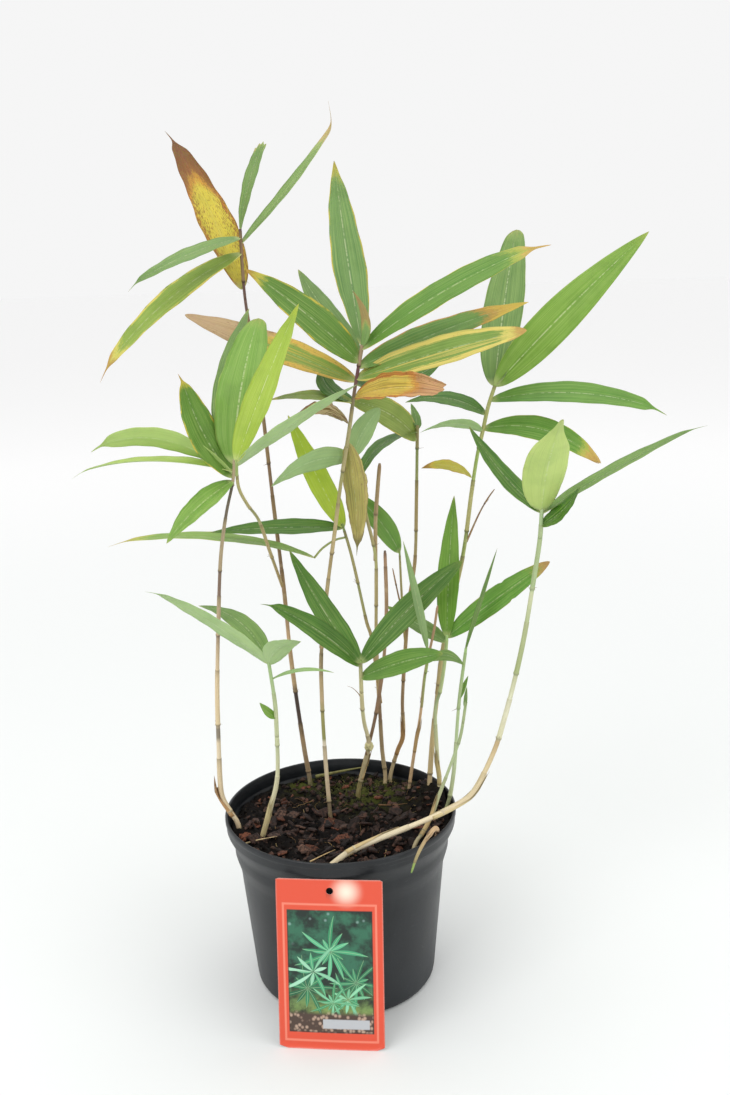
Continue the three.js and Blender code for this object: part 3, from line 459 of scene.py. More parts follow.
def grid_faces(rows, columns, closed):
    """Quads of a grid of points, row by row, joined round the columns where closed."""
    across = columns if closed else columns - 1
    row, column = np.meshgrid(np.arange(rows - 1), np.arange(across), indexing="ij")
    here = row * columns + column
    right = row * columns + (column + 1) % columns
    return np.stack([here, right, right + columns, here + columns], -1).reshape(-1, 4)


def barrel_faces(rows, columns):
    """Faces of a stack of closed rings, with one flat face over each end."""
    return grid_faces(rows, columns, True).tolist() + [
        list(range(columns - 1, -1, -1)), list(range((rows - 1) * columns, rows * columns))]


def lathe_faces(rows, columns):
    """Faces of a stack of closed rings whose ends close on two further points: that of the first ring,
    then that of the last."""
    first = rows * columns
    base = first - columns
    ends = [[first, (i + 1) % columns, i] for i in range(columns)]
    ends += [[first + 1, base + i, base + (i + 1) % columns] for i in range(columns)]
    return grid_faces(rows, columns, True).tolist() + ends


def add_mesh(name, points, faces, materials, colours=None, numbers=None, uv=None, slots=None, rounded=True):
    """A mesh object at the origin from points in millimetres and faces as index lists, with colour and
    number attributes on its points, a UV pair for each point, and a material index for each face."""
    mesh = bpy.data.meshes.new(name)
    points = np.asarray(points, float).reshape(-1, 3) * MM
    mesh.from_pydata(points.tolist(), [], [list(map(int, face)) for face in faces])
    for key, values in (colours or {}).items():
        layer = mesh.attributes.new(key, "FLOAT_COLOR", "POINT")
        values = np.concatenate([np.asarray(values, np.float32), np.ones((len(points), 1), np.float32)], 1)
        layer.data.foreach_set("color", values.ravel())
    for key, values in (numbers or {}).items():
        layer = mesh.attributes.new(key, "FLOAT", "POINT")
        layer.data.foreach_set("value", np.asarray(values, np.float32))
    if uv is not None:
        corner = np.zeros(len(mesh.loops), np.int32)
        mesh.loops.foreach_get("vertex_index", corner)
        layer = mesh.uv_layers.new(name="UVMap")
        layer.data.foreach_set("uv", np.asarray(uv, np.float32).reshape(-1, 2)[corner].ravel())
    for material in materials:
        mesh.materials.append(material)
    if slots is not None:
        mesh.polygons.foreach_set("material_index", np.asarray(slots, np.int32))
    mesh.polygons.foreach_set("use_smooth", np.full(len(mesh.polygons), rounded))
    mesh.update()
    piece = bpy.data.objects.new(name, mesh)
    bpy.context.scene.collection.objects.link(piece)
    return piece


class Assembly:
    """Shells gathered into one mesh: points, faces, attributes and material index of each."""

    def __init__(self):
        self.points, self.faces, self.uv, self.slots = [], [], [], []
        self.colours, self.numbers = {}, {}
        self.count = 0

    def add(self, points, faces, uv, colours, numbers, slot=0):
        points = np.asarray(points, float).reshape(-1, 3)
        self.points.append(points)
        self.faces.extend((np.asarray(face) + self.count).tolist() for face in faces)
        self.uv.append(np.asarray(uv, float).reshape(-1, 2))
        self.slots.extend([slot] * len(faces))
        for key, values in colours.items():
            self.colours.setdefault(key, []).append(np.broadcast_to(values, (len(points), 3)))
        for key, values in numbers.items():
            self.numbers.setdefault(key, []).append(np.broadcast_to(values, (len(points),)))
        self.count += len(points)

    def add_tissue(self, points, faces, uv, tint, slot=0, **numbers):
        """A shell of plant tissue in one colour, with the plain tissue's value for each number not
        given."""
        colours = {"tint": tint, "edge": tint, "end": tint}
        self.add(points, faces, uv, colours, {**PLAIN_TISSUE, **numbers}, slot)

    def finish(self, name, materials, rounded=True):
        colours = {key: np.concatenate(values) for key, values in self.colours.items()}
        numbers = {key: np.concatenate(values) for key, values in self.numbers.items()}
        return add_mesh(name, np.concatenate(self.points), self.faces, materials, colours, numbers,
                        np.concatenate(self.uv), self.slots, rounded)


def place(piece, slot, *nodes):
    """Rides the piece on the one body and hides the nodes that it stands for; the slot is not used."""
    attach(piece, "root")
    if nodes:
        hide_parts(*nodes)


# Stems

class Path:
    """A smooth route through given points: each span is a cubic whose tangents are half the way
    between the neighbouring points, with mirrored points beyond the ends, and it is measured along its
    length."""

    def __init__(self, points, steps=40):
        points = np.asarray(points, float)
        ends = np.vstack([2 * points[0] - points[1], points, 2 * points[-1] - points[-2]])
        before, start, stop, after = ends[:-3], ends[1:-2], ends[2:-1], ends[3:]
        t = np.linspace(0, 1, steps, endpoint=False)[None, :, None]
        leave, arrive = 0.5 * (stop - before)[:, None], 0.5 * (after - start)[:, None]
        start, stop = start[:, None], stop[:, None]
        cubic = ((2 * t ** 3 - 3 * t ** 2 + 1) * start + (t ** 3 - 2 * t ** 2 + t) * leave
                 + (3 * t ** 2 - 2 * t ** 3) * stop + (t ** 3 - t ** 2) * arrive)
        self.line = np.vstack([cubic.reshape(-1, 3), points[-1]])
        steps_along = np.linalg.norm(np.diff(self.line, axis=0), axis=1)
        self.lengths = np.concatenate([[0], np.cumsum(steps_along)])
        self.length = self.lengths[-1]

    def at(self, s):
        return np.stack([np.interp(s, self.lengths, self.line[:, axis]) for axis in range(3)], -1)

    def tangent(self, s):
        return unit(self.at(np.minimum(s + 0.6, self.length)) - self.at(np.maximum(s - 0.6, 0)))

    def at_height(self, z):
        above = np.argmax(self.line[:, 2] >= z)
        low, high = self.line[above - 1, 2], self.line[above, 2]
        step = self.lengths[above] - self.lengths[above - 1]
        return self.lengths[above - 1] + step * (z - low) / (high - low)


PATHS = {name: Path(stem.points) for name, stem in STEMS.items()}


def joint_places(length):
    """Distances of the rings along a stem, with the end of the sheath above each."""
    rings = []
    at = NODE["first"]
    while at < length - NODE["last"]:
        swing = 0.5 + 0.5 * math.sin(len(rings) * 1.9 + 0.6)
        internode = NODE["shortest"] + (NODE["longest"] - NODE["shortest"]) * swing
        rings.append((at, at + internode * NODE["reach"]))
        at += internode
    return rings


def tube_frame(path, s):
    """Middle, side and other direction at distances along a path, square to it."""
    along = path.tangent(s)
    side = unit(np.cross(np.array([0.0, 1.0, 0.0]), along))
    return path.at(s), side, np.cross(along, side)


def tube(path, s, radius, sides, seed):
    """Rings of points round a path, with the radius at each distance and a slight seeded unroundness,
    then the faces with both ends closed and the UV of each point: share round, and distance in
    centimetres."""
    middle, side, other = tube_frame(path, s)
    angle = circle(sides)
    grain = 1 + 0.03 * np.sin(3 * angle[None, :] + seed + 0.05 * s[:, None])
    out = side[:, None] * np.cos(angle)[None, :, None] + other[:, None] * np.sin(angle)[None, :, None]
    rings = middle[:, None] + out * (radius[:, None] * grain)[..., None]
    round_share = np.abs(2 * angle / (2 * math.pi) - 1)
    uv = np.stack(np.broadcast_arrays(round_share[None, :], s[:, None] / 10), -1)
    return rings.reshape(-1, 3), barrel_faces(len(s), sides), uv


def stem_shell(into, name, start, stop, slot):
    """The stem between two distances. Its radius tapers from foot to top, swells at each ring above a
    fine groove, and is a little wider where a sheath wraps it. Colours follow the stem's stops, darker at
    a ring, and paler with a brown end on a sheath."""
    path, stem = PATHS[name], STEMS[name]
    foot, top = stem.radius
    rings = joint_places(path.length)
    close = [at for ring, end in rings
             for at in [ring + step for step in RING_STEPS] + [end + step for step in SHEATH_STEPS]]
    s = np.unique(np.concatenate([np.linspace(start, stop, max(int((stop - start) / 2.2), 6)),
                                  [at for at in close if start < at < stop]]))
    factor, shade = np.ones_like(s), np.ones_like(s)
    ringed, sheathed, fray = np.zeros_like(s), np.zeros_like(s), np.zeros_like(s)
    for i, (ring, end) in enumerate(rings):
        on = (s > ring) & (s <= end)
        sheathed = np.where(on, 1, sheathed)
        fray = np.maximum(fray, np.exp(-np.clip(end - s, 0, 99) / 3) * on)
        factor = np.where(on, NODE["sheath"], factor)
        factor = np.maximum(factor, 1 + (NODE["swell"] - 1) * bell(s - ring - 0.4, 1.1))
        factor = factor * (1 - 0.1 * bell(s - ring + 1.3, 0.5))
        ringed = np.maximum(ringed, bell(s - ring, 0.9))
        stain = max(math.sin(i * 2.3 + ord(name)), 0) * (0.3 if foot > top * 1.25 else 0.12)
        shade = shade * (1 - stain * bell(ring - s, 13) * (s < ring))
        shade = shade * (1 + 0.10 * math.sin(i * 1.7 + ord(name) * 0.9) * smooth(s, ring, ring + 1))
    radius = (foot + (top - foot) * s / path.length) * factor
    if not stem.split and not stem.leafy:
        radius = radius * (1 - 0.4 * smooth(s, path.length - 3, path.length))
    if path.line[0, 2] < ROOTED_BELOW:
        radius = radius * (1 + 0.12 * np.exp(-np.abs(s - 22) / 6))
    calm = 0.3 if name in YOUNG_STEMS else 1.0
    sheath, stops = STEM_COLOURS[name]
    shares, codes = zip(*[pair.split() for pair in stops.split(", ")])
    tones = np.array([linear(code) for code in codes])
    base = np.stack([np.interp(s / path.length, np.array(shares, float), tones[:, c]) for c in range(3)], -1)
    wrap = 0.55 * calm * sheathed[:, None]
    tint = base * (1 - wrap) + linear(sheath) * wrap
    tint = tint * ((1 - 0.45 * calm * fray) * (1 - 0.55 * calm ** 0.5 * ringed) * shade)[:, None]
    into.add_tissue(*tube(path, s, radius, STEM_SIDES, ord(name)), np.repeat(tint, STEM_SIDES, axis=0), slot,
                    sheath=np.repeat(sheathed, STEM_SIDES), speck=0.3, dry=0.2)


def strand(into, points, radius, colour, sides=4):
    """A thin tapered strand through a few points: a bristle, rootlet, twig or hair of moss."""
    path = Path(points, 6)
    s = np.linspace(0, path.length, 3 * len(points))
    shell = tube(path, s, radius * (1 - 0.75 * s / path.length), sides, 1.0)
    into.add_tissue(*shell, linear(colour), sheath=0.5, dry=1)


def bristles(into, name):
    """Short dry hairs that stand out from the rings of a stem, with their number, length and turn from a
    seed."""
    path = PATHS[name]
    random = np.random.default_rng(ord(name))
    for ring, _ in joint_places(path.length):
        if path.at(ring)[2] < SOIL_LEVEL + 6:
            continue
        for _ in range(random.integers(0, 3)):
            turn, reach = random.uniform(0, 6.28), random.uniform(1.6, 4.6)
            out = np.array([math.cos(turn), math.sin(turn), random.uniform(-0.3, 0.9)])
            out /= np.linalg.norm(out)
            start = path.at(ring) + out * 0.9
            middle = start + out * reach * 0.5 + UP * random.uniform(-0.4, 0.4)
            end = start + out * reach + np.array([0, 0, random.uniform(-1, 1)])
            strand(into, [start, middle, end], random.uniform(0.16, 0.3), "8a6f50")


def lumpy_knot(into, middle, size, seed, colour):
    """A swollen, lumpy knot: a ball whose radius carries two sizes of soft lumps, a little taller than
    wide."""
    rows, columns = 20, 26
    v = np.linspace(0.04, math.pi - 0.04, rows)[:, None]
    u = circle(columns)[None, :]
    x, y, z = np.sin(v) * np.cos(u), np.sin(v) * np.sin(u), np.cos(v) * np.ones_like(u)
    radius = size * (1 + 0.22 * lumps(x, y, z, seed, 0.9) + 0.12 * lumps(x, y, z, seed + 1, 0.4))
    points = np.stack([x * radius, y * radius, z * radius * 1.25], -1).reshape(-1, 3) + np.array(middle)
    faces = [face[::-1] for face in barrel_faces(rows, columns)]
    # Painted shade: the colour is darker in the hollows between the lumps and a little lighter on their tops
    shade = linear(colour) * (0.75 + 0.35 * smooth(radius, size * 0.8, size * 1.2)).reshape(-1, 1)
    uv = np.stack(np.broadcast_arrays(u / 6.28, v), -1)
    into.add_tissue(points, faces, uv, shade, sheath=0.6, dry=1)


def papery_sheath(into, name, ring, length, flare, turn, colour):
    """A dry sheath that wraps part of a stem from a ring upwards: an open shell with a thin wall that
    flares and frays towards its top, where its rim is ragged."""
    path = PATHS[name]
    foot, top = STEMS[name].radius
    rows, columns = 14, 13
    v = np.linspace(0, 1, rows)[:, None]
    u = np.linspace(-1, 1, columns)[None, :]
    ragged = 1 + 0.16 * np.sin(u * 9 + turn) * v + 0.10 * np.sin(u * 23 + turn * 2) * v
    s = np.clip(ring + length * v * ragged * (1 - 0.25 * u ** 2 * v), 0, path.length - 0.2)
    middle, side, other = tube_frame(path, s.ravel())
    angle = (turn + u * (2.6 - 1.3 * v)).ravel()
    out = side * np.cos(angle)[:, None] + other * np.sin(angle)[:, None]
    wrap = (foot + (top - foot) * s / path.length) * 1.16 + 0.12
    radius = (wrap + flare * v ** 2.2 * (1 - 0.3 * u ** 2)).ravel()
    outer, inner = middle + out * radius[:, None], middle + out * (radius - 0.16)[:, None]
    points, faces = closed_sheet(outer, inner, rows, columns)
    uv = np.stack(np.broadcast_arrays((u + 1) / 2, v * length / 10), -1).reshape(-1, 2)
    shade = linear(colour) * (1 - 0.35 * smooth(v * np.ones_like(u), 0.6, 1).ravel()[:, None])
    into.add_tissue(points, faces, np.vstack([uv, uv]), np.vstack([shade, shade]), sheath=1, speck=0.5, dry=1)


def closed_sheet(upper, lower, rows, columns):
    """Two grids of points as the faces of one thin closed body, joined round their border."""
    size = rows * columns
    top = grid_faces(rows, columns, False)
    bottom = top[:, ::-1] + size
    border = np.concatenate([
        np.arange(columns), np.arange(1, rows) * columns + columns - 1,
        (rows - 1) * columns + np.arange(columns - 2, -1, -1), np.arange(rows - 2, 0, -1) * columns])
    after = np.roll(border, -1)
    sides = np.stack([border, border + size, after + size, after], -1)
    return np.vstack([upper, lower]), np.vstack([top, bottom, sides])


# Blades

def half_width(share, width, shape, end):
    """Half the width at a share of the length: a sine, raised, ended and narrowed as the shape says, with
    a slim stalk at the root. A round end closes as a quarter of an ellipse, a thread narrows early and
    runs out, and a notch is a dip in both margins."""
    peak, fullness, reach, narrowing = SHAPES[shape]
    share = np.clip(share, 0, 1)
    swell = np.sin(math.pi * (share * reach) ** peak).clip(0) ** fullness
    half = width / 2 * swell * (1 - narrowing * smooth(share, 0.6, 0.95))
    if end in ("thread", "curl"):
        half = half * (1 - 0.72 * smooth(share, 0.86, 0.94))
    if end == "round":
        half = half * np.sqrt(np.clip(1 - (np.clip(share - 0.95, 0, 1) / 0.05) ** 2, 0.0004, 1))
    if end == "notch":
        half = half * (1 - 0.12 * bell(share - 0.6, 0.02))
    stalk = 0.75 * (1 - smooth(share, 0.06, 0.12))
    return np.maximum(np.maximum(half, stalk), 0.09)


def blade_shell(into, name, blade):
    """A blade along the chord from its root to its tip, bowed by arch and sway with 4t(1 - t). Its halves
    fold up from the midrib, which is rounded over a tenth of the width, and its margins wave. It is
    thickest at the midrib. A torn end is jagged by two sines of the place across, and a thread bends by
    the square of its share."""
    path = PATHS[blade.stem or name]
    root = path.at(path.length if blade.root is None else path.at_height(blade.root))
    tip = np.array(blade.tip, float)
    heading = unit(np.array([tip[0] - root[0], tip[1] - root[1], 0]))
    root = root + heading * blade.stand_out
    chord = tip - root
    length = np.linalg.norm(chord)
    side = np.array([-heading[1], heading[0], 0])
    up = np.cross(chord / length, side)
    angle = math.radians(blade.roll)
    across = side * math.cos(angle) + up * math.sin(angle)
    normal = up * math.cos(angle) - side * math.sin(angle)
    base, edge, end, margin, tip_start, speck, dry = LOOKS[blade.look]
    rows = int(np.clip(length / 1.9, 30, 76))
    columns = 15 if blade.width > 10 else 9
    v = (0.5 - 0.5 * np.cos(np.linspace(0, math.pi, rows))) * 0.6 + np.linspace(0, 1, rows) * 0.4
    w = np.linspace(-1, 1, columns)
    w = np.sign(w) * np.abs(w) ** 0.85
    v, w = v[:, None], w[None, :]
    seed = sum(tip) * 0.37 + blade.width
    half = half_width(v, blade.width, blade.shape, blade.end)
    bow = 4 * v * (1 - v)
    jag = 0.0
    if blade.end == "torn":
        jag = (0.03 * np.sin(w * 2.1 + seed) + 0.015 * np.sin(w * 9 + seed * 2) - 0.02) * smooth(v, 0.8, 1)
    spine = (root + chord * (v + jag)[..., None] * np.ones_like(w)[..., None]
             + up * (blade.arch * bow)[..., None] + side * (blade.sway * bow)[..., None])
    spine = spine + up * (THREAD_BEND.get(blade.end, 0.0) * smooth(v, 0.82, 1.05) ** 2)[..., None]
    lift = math.tan(math.radians(blade.fold)) * half * (np.sqrt(w ** 2 + 0.02) - 0.14)
    ripple = 0.6 * np.sin(v * 17 + seed + 1.8 * np.sign(w)) + 0.4 * np.sin(v * 41 + seed * 2 + w)
    height = lift + blade.wave * ripple * np.abs(w) ** 2 * smooth(v, 0.05, 0.25) * np.minimum(half / 5, 1)
    height = height - 0.10 * half * smooth(np.abs(w), 0.3, 1) * smooth(v, 0.1, 0.4)
    if dry > 0.5:
        height = height + 0.9 * np.abs(w) ** 3 * half * 0.4 * smooth(v, 0.1, 0.5)
        crumple = 0.35 * np.sin(v * 19 + w * 3 + seed) + 0.2 * np.sin(v * 47 - w * 5 + seed * 2)
        height = height + crumple * smooth(v, 0.1, 0.3) * np.minimum(half / 4, 1)
    ragged = np.sin(v * 37 + seed + 2 * np.sign(w)) + 0.6 * np.sin(v * 97 + seed * 3 + np.sign(w))
    fray = 1 + 0.05 * np.abs(w) ** 6 * ragged * smooth(dry, 0.1, 0.9)
    centre = spine + across * (w * half * fray)[..., None] + normal * height[..., None]
    thick = 0.12 + 0.2 * bell(w, 0.14) + 0.5 * (1 - smooth(v, 0.02, 0.09))
    away = normal * (thick * np.minimum(half / 2 + 0.25, 1) / 2)[..., None]
    upper, lower = (centre + away).reshape(-1, 3), (centre - away).reshape(-1, 3)
    points, faces = closed_sheet(upper, lower, rows, columns)
    uv = np.stack(np.broadcast_arrays((w + 1) / 2, v), -1).reshape(-1, 2)
    tone = 1 + 0.06 * math.sin(seed * 3.1)
    into.add(points, faces, np.vstack([uv, uv]),
             {"tint": linear(base) * tone, "edge": linear(edge), "end": linear(end)},
             {**PLAIN_TISSUE, "margin": margin, "tip_start": tip_start, "speck": speck, "dry": dry,
              "under": np.repeat([0.0, 1.0], rows * columns), "grain": (seed * 0.618) % 7,
              "span": blade.width / SPAN_UNIT})


# Finishes

class Value:
    """An output socket with arithmetic: each operation adds one Math node to the finish."""

    def __init__(self, finish, socket):
        self.finish = finish
        self.socket = socket

    def math(self, operation, *others):
        inputs = dict(enumerate([self, *others]))
        return self.finish.add("ShaderNodeMath", {"operation": operation}, inputs)[0]

    __add__ = __radd__ = partialmethod(math, "ADD")
    __mul__ = __rmul__ = partialmethod(math, "MULTIPLY")
    __sub__ = partialmethod(math, "SUBTRACT")
    __truediv__ = partialmethod(math, "DIVIDE")
    __pow__ = partialmethod(math, "POWER")
    sin = partialmethod(math, "SINE")
    abs = partialmethod(math, "ABSOLUTE")
    fraction = partialmethod(math, "FRACT")
    at_least = partialmethod(math, "MAXIMUM")
    at_most = partialmethod(math, "MINIMUM")

    def __rsub__(self, other):
        return self.finish.add("ShaderNodeMath", {"operation": "SUBTRACT"}, {0: other, 1: self})[0]

    def above(self, low, high):
        """0 below low and 1 above high, smooth between; the other way round where high is the lower."""
        if isinstance(low, (int, float)) and isinstance(high, (int, float)) and low > high:
            return 1 - self.above(high, low)
        settings = {"interpolation_type": "SMOOTHSTEP"}
        return self.finish.add("ShaderNodeMapRange", settings, {0: self, 1: low, 2: high})[0]


class Finish:
    """A material under construction."""

    def __init__(self, name):
        self.material = bpy.data.materials.new(name)
        self.material.use_nodes = True
        self.tree = self.material.node_tree
        self.tree.nodes.clear()

    def add(self, kind, settings=None, inputs=None):
        """A node of this type: its settings first, then values or links by socket name or number. Returns
        its outputs."""
        node = self.tree.nodes.new(kind)
        for key, value in (settings or {}).items():
            setattr(node, key, value)
        for key, value in (inputs or {}).items():
            socket = node.inputs[key]
            if isinstance(value, Value):
                self.tree.links.new(value.socket, socket)
            else:
                socket.default_value = rgba(value) if isinstance(value, str) else value
        return [Value(self, output) for output in node.outputs]

    def object_place(self):
        return self.add("ShaderNodeTexCoord")[3]

    def uv(self):
        return self.add("ShaderNodeTexCoord")[2]

    def split(self, vector):
        return self.add("ShaderNodeSeparateXYZ", None, {0: vector})

    def join(self, x, y, z=0.0):
        return self.add("ShaderNodeCombineXYZ", None, {0: x, 1: y, 2: z})[0]

    def number(self, name):
        return self.add("ShaderNodeAttribute", {"attribute_name": name})[2]

    def colour(self, name):
        return self.add("ShaderNodeAttribute", {"attribute_name": name})[0]

    def noise(self, place, scale, detail=4.0, rough=0.55):
        return self.add("ShaderNodeTexNoise", None,
                        {"Vector": place, "Scale": scale, "Detail": detail, "Roughness": rough})[0]

    def grained(self, x, y, z=0.0, detail=2.0, rough=0.5):
        """Noise over a place whose axes are stretched one by one."""
        return self.noise(self.join(x, y, z), 1.0, detail, rough)

    def cells(self, place, scale):
        return self.add("ShaderNodeTexVoronoi", None, {"Vector": place, "Scale": scale})[0]

    def mix(self, share, first, second, blend="MIX"):
        settings = {"data_type": "RGBA", "blend_type": blend}
        return self.add("ShaderNodeMix", settings, {0: share, 6: first, 7: second})[2]

    def times(self, colour, code):
        """A colour multiplied by another, which darkens it."""
        return self.mix(1.0, colour, code, "MULTIPLY")

    def surface(self, bump=None, **sockets):
        """The finished material, with values by socket name, and a bump by its height, distance and
        strength."""
        inputs = {key.replace("_", " "): value for key, value in sockets.items()}
        if bump:
            values = dict(zip(("Height", "Distance", "Strength"), bump))
            inputs["Normal"] = self.add("ShaderNodeBump", None, values)[0]
        shader = self.add("ShaderNodeBsdfPrincipled", None, inputs)[0]
        self.add("ShaderNodeOutputMaterial", None, {"Surface": shader})
        return self.material


def leaf_finish():
    """Leaf tissue. Across the blade run fine parallel veins and a thin pale midrib that shows in dashes;
    the margin and the tip turn to their own colours with ragged, streaked edges; specks of rust follow
    the veins; the foot of the blade is pale, and the underside is paler and duller. The number of veins
    follows the width."""
    make = Finish("leaf tissue")
    x, y, _ = make.split(make.uv())
    tint, edge, end = [make.colour(name) for name in ("tint", "edge", "end")]
    grain, span, margin, tip_start, speck, dry, under = [
        make.number(name) for name in ("grain", "span", "margin", "tip_start", "speck", "dry", "under")]
    out = (x * 2 - 1).abs()
    wide = x * span
    streak = make.grained(wide * 34, y * 1.8, grain, 3.0, 0.6)
    fine = make.grained(wide * 120, y * 5, grain)
    lines = make.grained(wide * 70, y * 1.1, grain)
    lane = make.grained(wide * 9, y * 0.7, grain)
    blotch = make.grained(wide * 6, y * 9, grain, 4.0, 0.6)
    speck_field = make.grained(wide * 30, y * 42, grain, 2.0, 0.6)
    dash = make.grained(0.5, y * 48, grain).above(0.42, 0.56)
    cloud = make.noise(make.object_place(), 60.0, 3.0, 0.5)
    ribs = (wide * 165 + streak * 1.5).sin() * 0.5 + 0.5
    # Green tissue
    green = make.mix((streak - 0.45).at_least(0.0) * 1.6, tint, make.mix(0.5, tint, "bfce80"))
    green = make.mix((0.5 - streak).at_least(0.0) * 1.5, green, make.times(green, "8fa47c"))
    green = make.mix(ribs * 0.26 + fine * 0.3, green, make.times(green, "8a9c74"))
    green = make.mix((lines - 0.5).at_least(0.0) * 2.2, green, make.mix(0.55, green, "cfdc88"))
    green = make.mix((cloud - 0.45).above(0.0, 0.25) * 0.25, green, make.times(green, "a8bc8c"))
    # Margin, and stripes where it is wide
    reach = 1 - margin * (0.35 + blotch * 1.1) - (streak - 0.5) * margin * 1.6
    patch = blotch.above(0.40, 0.56).at_least((margin - 0.2) * 8).at_most(1.0)
    rim = out.above(reach, reach + 0.07) * patch
    stripes = (lane.above(0.5, 0.62) * streak.above(0.42, 0.6)) * (margin - 0.3).above(0.0, 0.1)
    rim = (rim * (1 - stripes * 0.3)).at_least(stripes * 0.85) * (0.35 + streak.above(0.34, 0.5) * 0.65)
    worn = make.mix(rim, green, make.mix((fine - 0.3) * 0.6, edge, make.times(edge, "c8a070")))
    worn = make.mix(out.above(0.955, 0.995) * 0.3 * patch, worn, edge)
    # Tip, with a ring of the margin's colour before it
    border = tip_start + (blotch - 0.5) * 0.14 + (streak - 0.5) * 0.10 + (speck_field - 0.5) * 0.16
    border = border - (1 - tip_start) * out * 0.35
    tip = y.above(border - 0.01, border + 0.04)
    singed = make.mix(y.above(border + 0.02, border + 0.2), make.mix(0.35, end, edge), end)
    worn = make.mix(tip, worn, make.mix(streak * 0.7, singed, make.times(singed, "a8947c")))
    ring = y.above(border - 0.08, border) * (1 - tip) * (margin * 9).at_most(1.0)
    worn = make.mix(ring * 0.85, worn, edge)
    # Specks, dry folds, foot and midrib
    threshold = 0.80 - speck * (0.10 + out * 0.11)
    rust = speck_field.above(threshold, threshold + 0.05) * speck.above(0.02, 0.2)
    worn = make.mix(rust * 0.75, worn, "7c4420")
    worn = make.mix(streak.above(0.48, 0.57) * dry, worn, make.times(worn, "92704f"))
    worn = make.mix(y.above(0.06, 0.0) * (1 - dry) * 0.7, worn, "c6cf8c")
    alive = y.above(0.45, 0.05) * dry.above(0.2, 0.3) * dry.above(0.5, 0.4)
    worn = make.mix(alive * streak.above(0.4, 0.6) * 0.8, worn, "b4b855")
    rib = out.above(0.05, 0.015) * (0.08 + dash * 0.92) * y.above(0.97, 0.8)
    worn = make.mix(rib * (0.6 - speck * 0.3).at_least(0.0), worn, make.mix(0.6, worn, "e9ecc0"))
    shown = make.mix(under * (1 - dry * 0.7), worn, make.mix(0.32, worn, "a5bd8f"))
    height = ribs * 0.3 + fine * 0.35 + streak * 0.4 - rib * 0.5 + dry * blotch * 1.5
    rough = 0.40 + under * 0.2 + dry * 0.25 + (fine - 0.5) * 0.12 + rust * 0.1
    return make.surface((height, 0.0003, 0.7), Base_Color=shown, Roughness=rough, Specular_IOR_Level=0.35,
                        Subsurface_Weight=0.1, Subsurface_Radius=(0.0008, 0.0014, 0.0004),
                        Subsurface_Scale=1.0)


def culm_finish():
    """Culm skin: fine length-wise fibres, darker specks, and a duller, streaked surface on the sheaths."""
    make = Finish("culm skin")
    x, y, _ = make.split(make.uv())
    tint, sheath = make.colour("tint"), make.number("sheath")
    fibre = make.grained(x * 26, y * 0.9, 0.0, 3.0, 0.6)
    blot = make.noise(make.object_place(), 160.0, 4.0, 0.6)
    speck = make.grained(x * 14, y * 12)
    skin = make.mix((fibre - 0.38) * (0.5 + sheath * 0.5), tint, make.times(tint, "8a7460"))
    skin = make.mix(blot.above(0.52, 0.72) * 0.4, skin, make.mix(0.5, skin, "d8cfa8"))
    skin = make.mix(speck.above(0.66, 0.74) * (0.25 + sheath * 0.45), skin, "4a3424")
    return make.surface((fibre + blot * 0.5, 0.0003, 0.7), Base_Color=skin, Specular_IOR_Level=0.4,
                        Roughness=0.42 + sheath * 0.25 + (fibre - 0.5) * 0.2)


def pot_finish(colour, dust):
    """Thermoformed plastic: dark and matte, with faint vertical wipes, fine scratches and dust that settles
    in patches and thickens towards the foot."""
    make = Finish("nursery pot plastic")
    spot = make.object_place()
    x, y, z = make.split(spot)
    patch = make.noise(spot, 22.0, 5.0, 0.6)
    grain = make.noise(spot, 900.0, 3.0, 0.6)
    wipe = make.grained(x * 60, y * 60, z * 6, 4.0, 0.6)
    scratch = make.grained(x * 90, y * 90, z * 900).above(0.68, 0.74)
    film = (patch - 0.35).at_least(0.0) * 0.9 + (wipe - 0.45).at_least(0.0) * 0.8 + z.above(0.05, 0.0) * 0.3
    film = film * dust
    speck = make.noise(spot, 1300.0, 2.0, 0.5).above(0.70, 0.76)
    body = make.mix(film.at_most(0.5) * 0.2, colour, "6d7479")
    body = make.mix(speck * dust * 0.22, body, "8c9092")
    body = make.mix(scratch * 0.05, body, "8c9092")
    body = make.mix((grain - 0.5).at_least(0.0) * 0.2, body, "3a3e40")
    return make.surface((grain + scratch * 0.4, 0.00012, 0.5), Base_Color=body, Specular_IOR_Level=0.4,
                        Roughness=0.34 + film * 0.3 + (grain - 0.5) * 0.12)


def peat_finish():
    """Moist peat: near-black crumbs with brown fibres and a few pale flecks, rough all over."""
    make = Finish("peat mix")
    spot = make.object_place()
    coarse = make.noise(spot, 140.0, 5.0, 0.65)
    crumb = make.cells(spot, 420.0)
    fleck = make.noise(spot, 520.0, 2.0, 0.5)
    body = make.mix(coarse.above(0.45, 0.8), "080504", "271811")
    body = make.mix(crumb.above(0.1, 0.6) * 0.5, body, "0a0605")
    body = make.mix(fleck.above(0.70, 0.75) * 0.7, body, "7a6040")
    body = make.mix(make.number("moss") * coarse.above(0.42, 0.55), body, "4d5220")
    return make.surface((coarse + crumb * 0.5, 0.0012, 0.9), Base_Color=body, Specular_IOR_Level=0.15,
                        Roughness=0.78 + (coarse - 0.5) * 0.3)


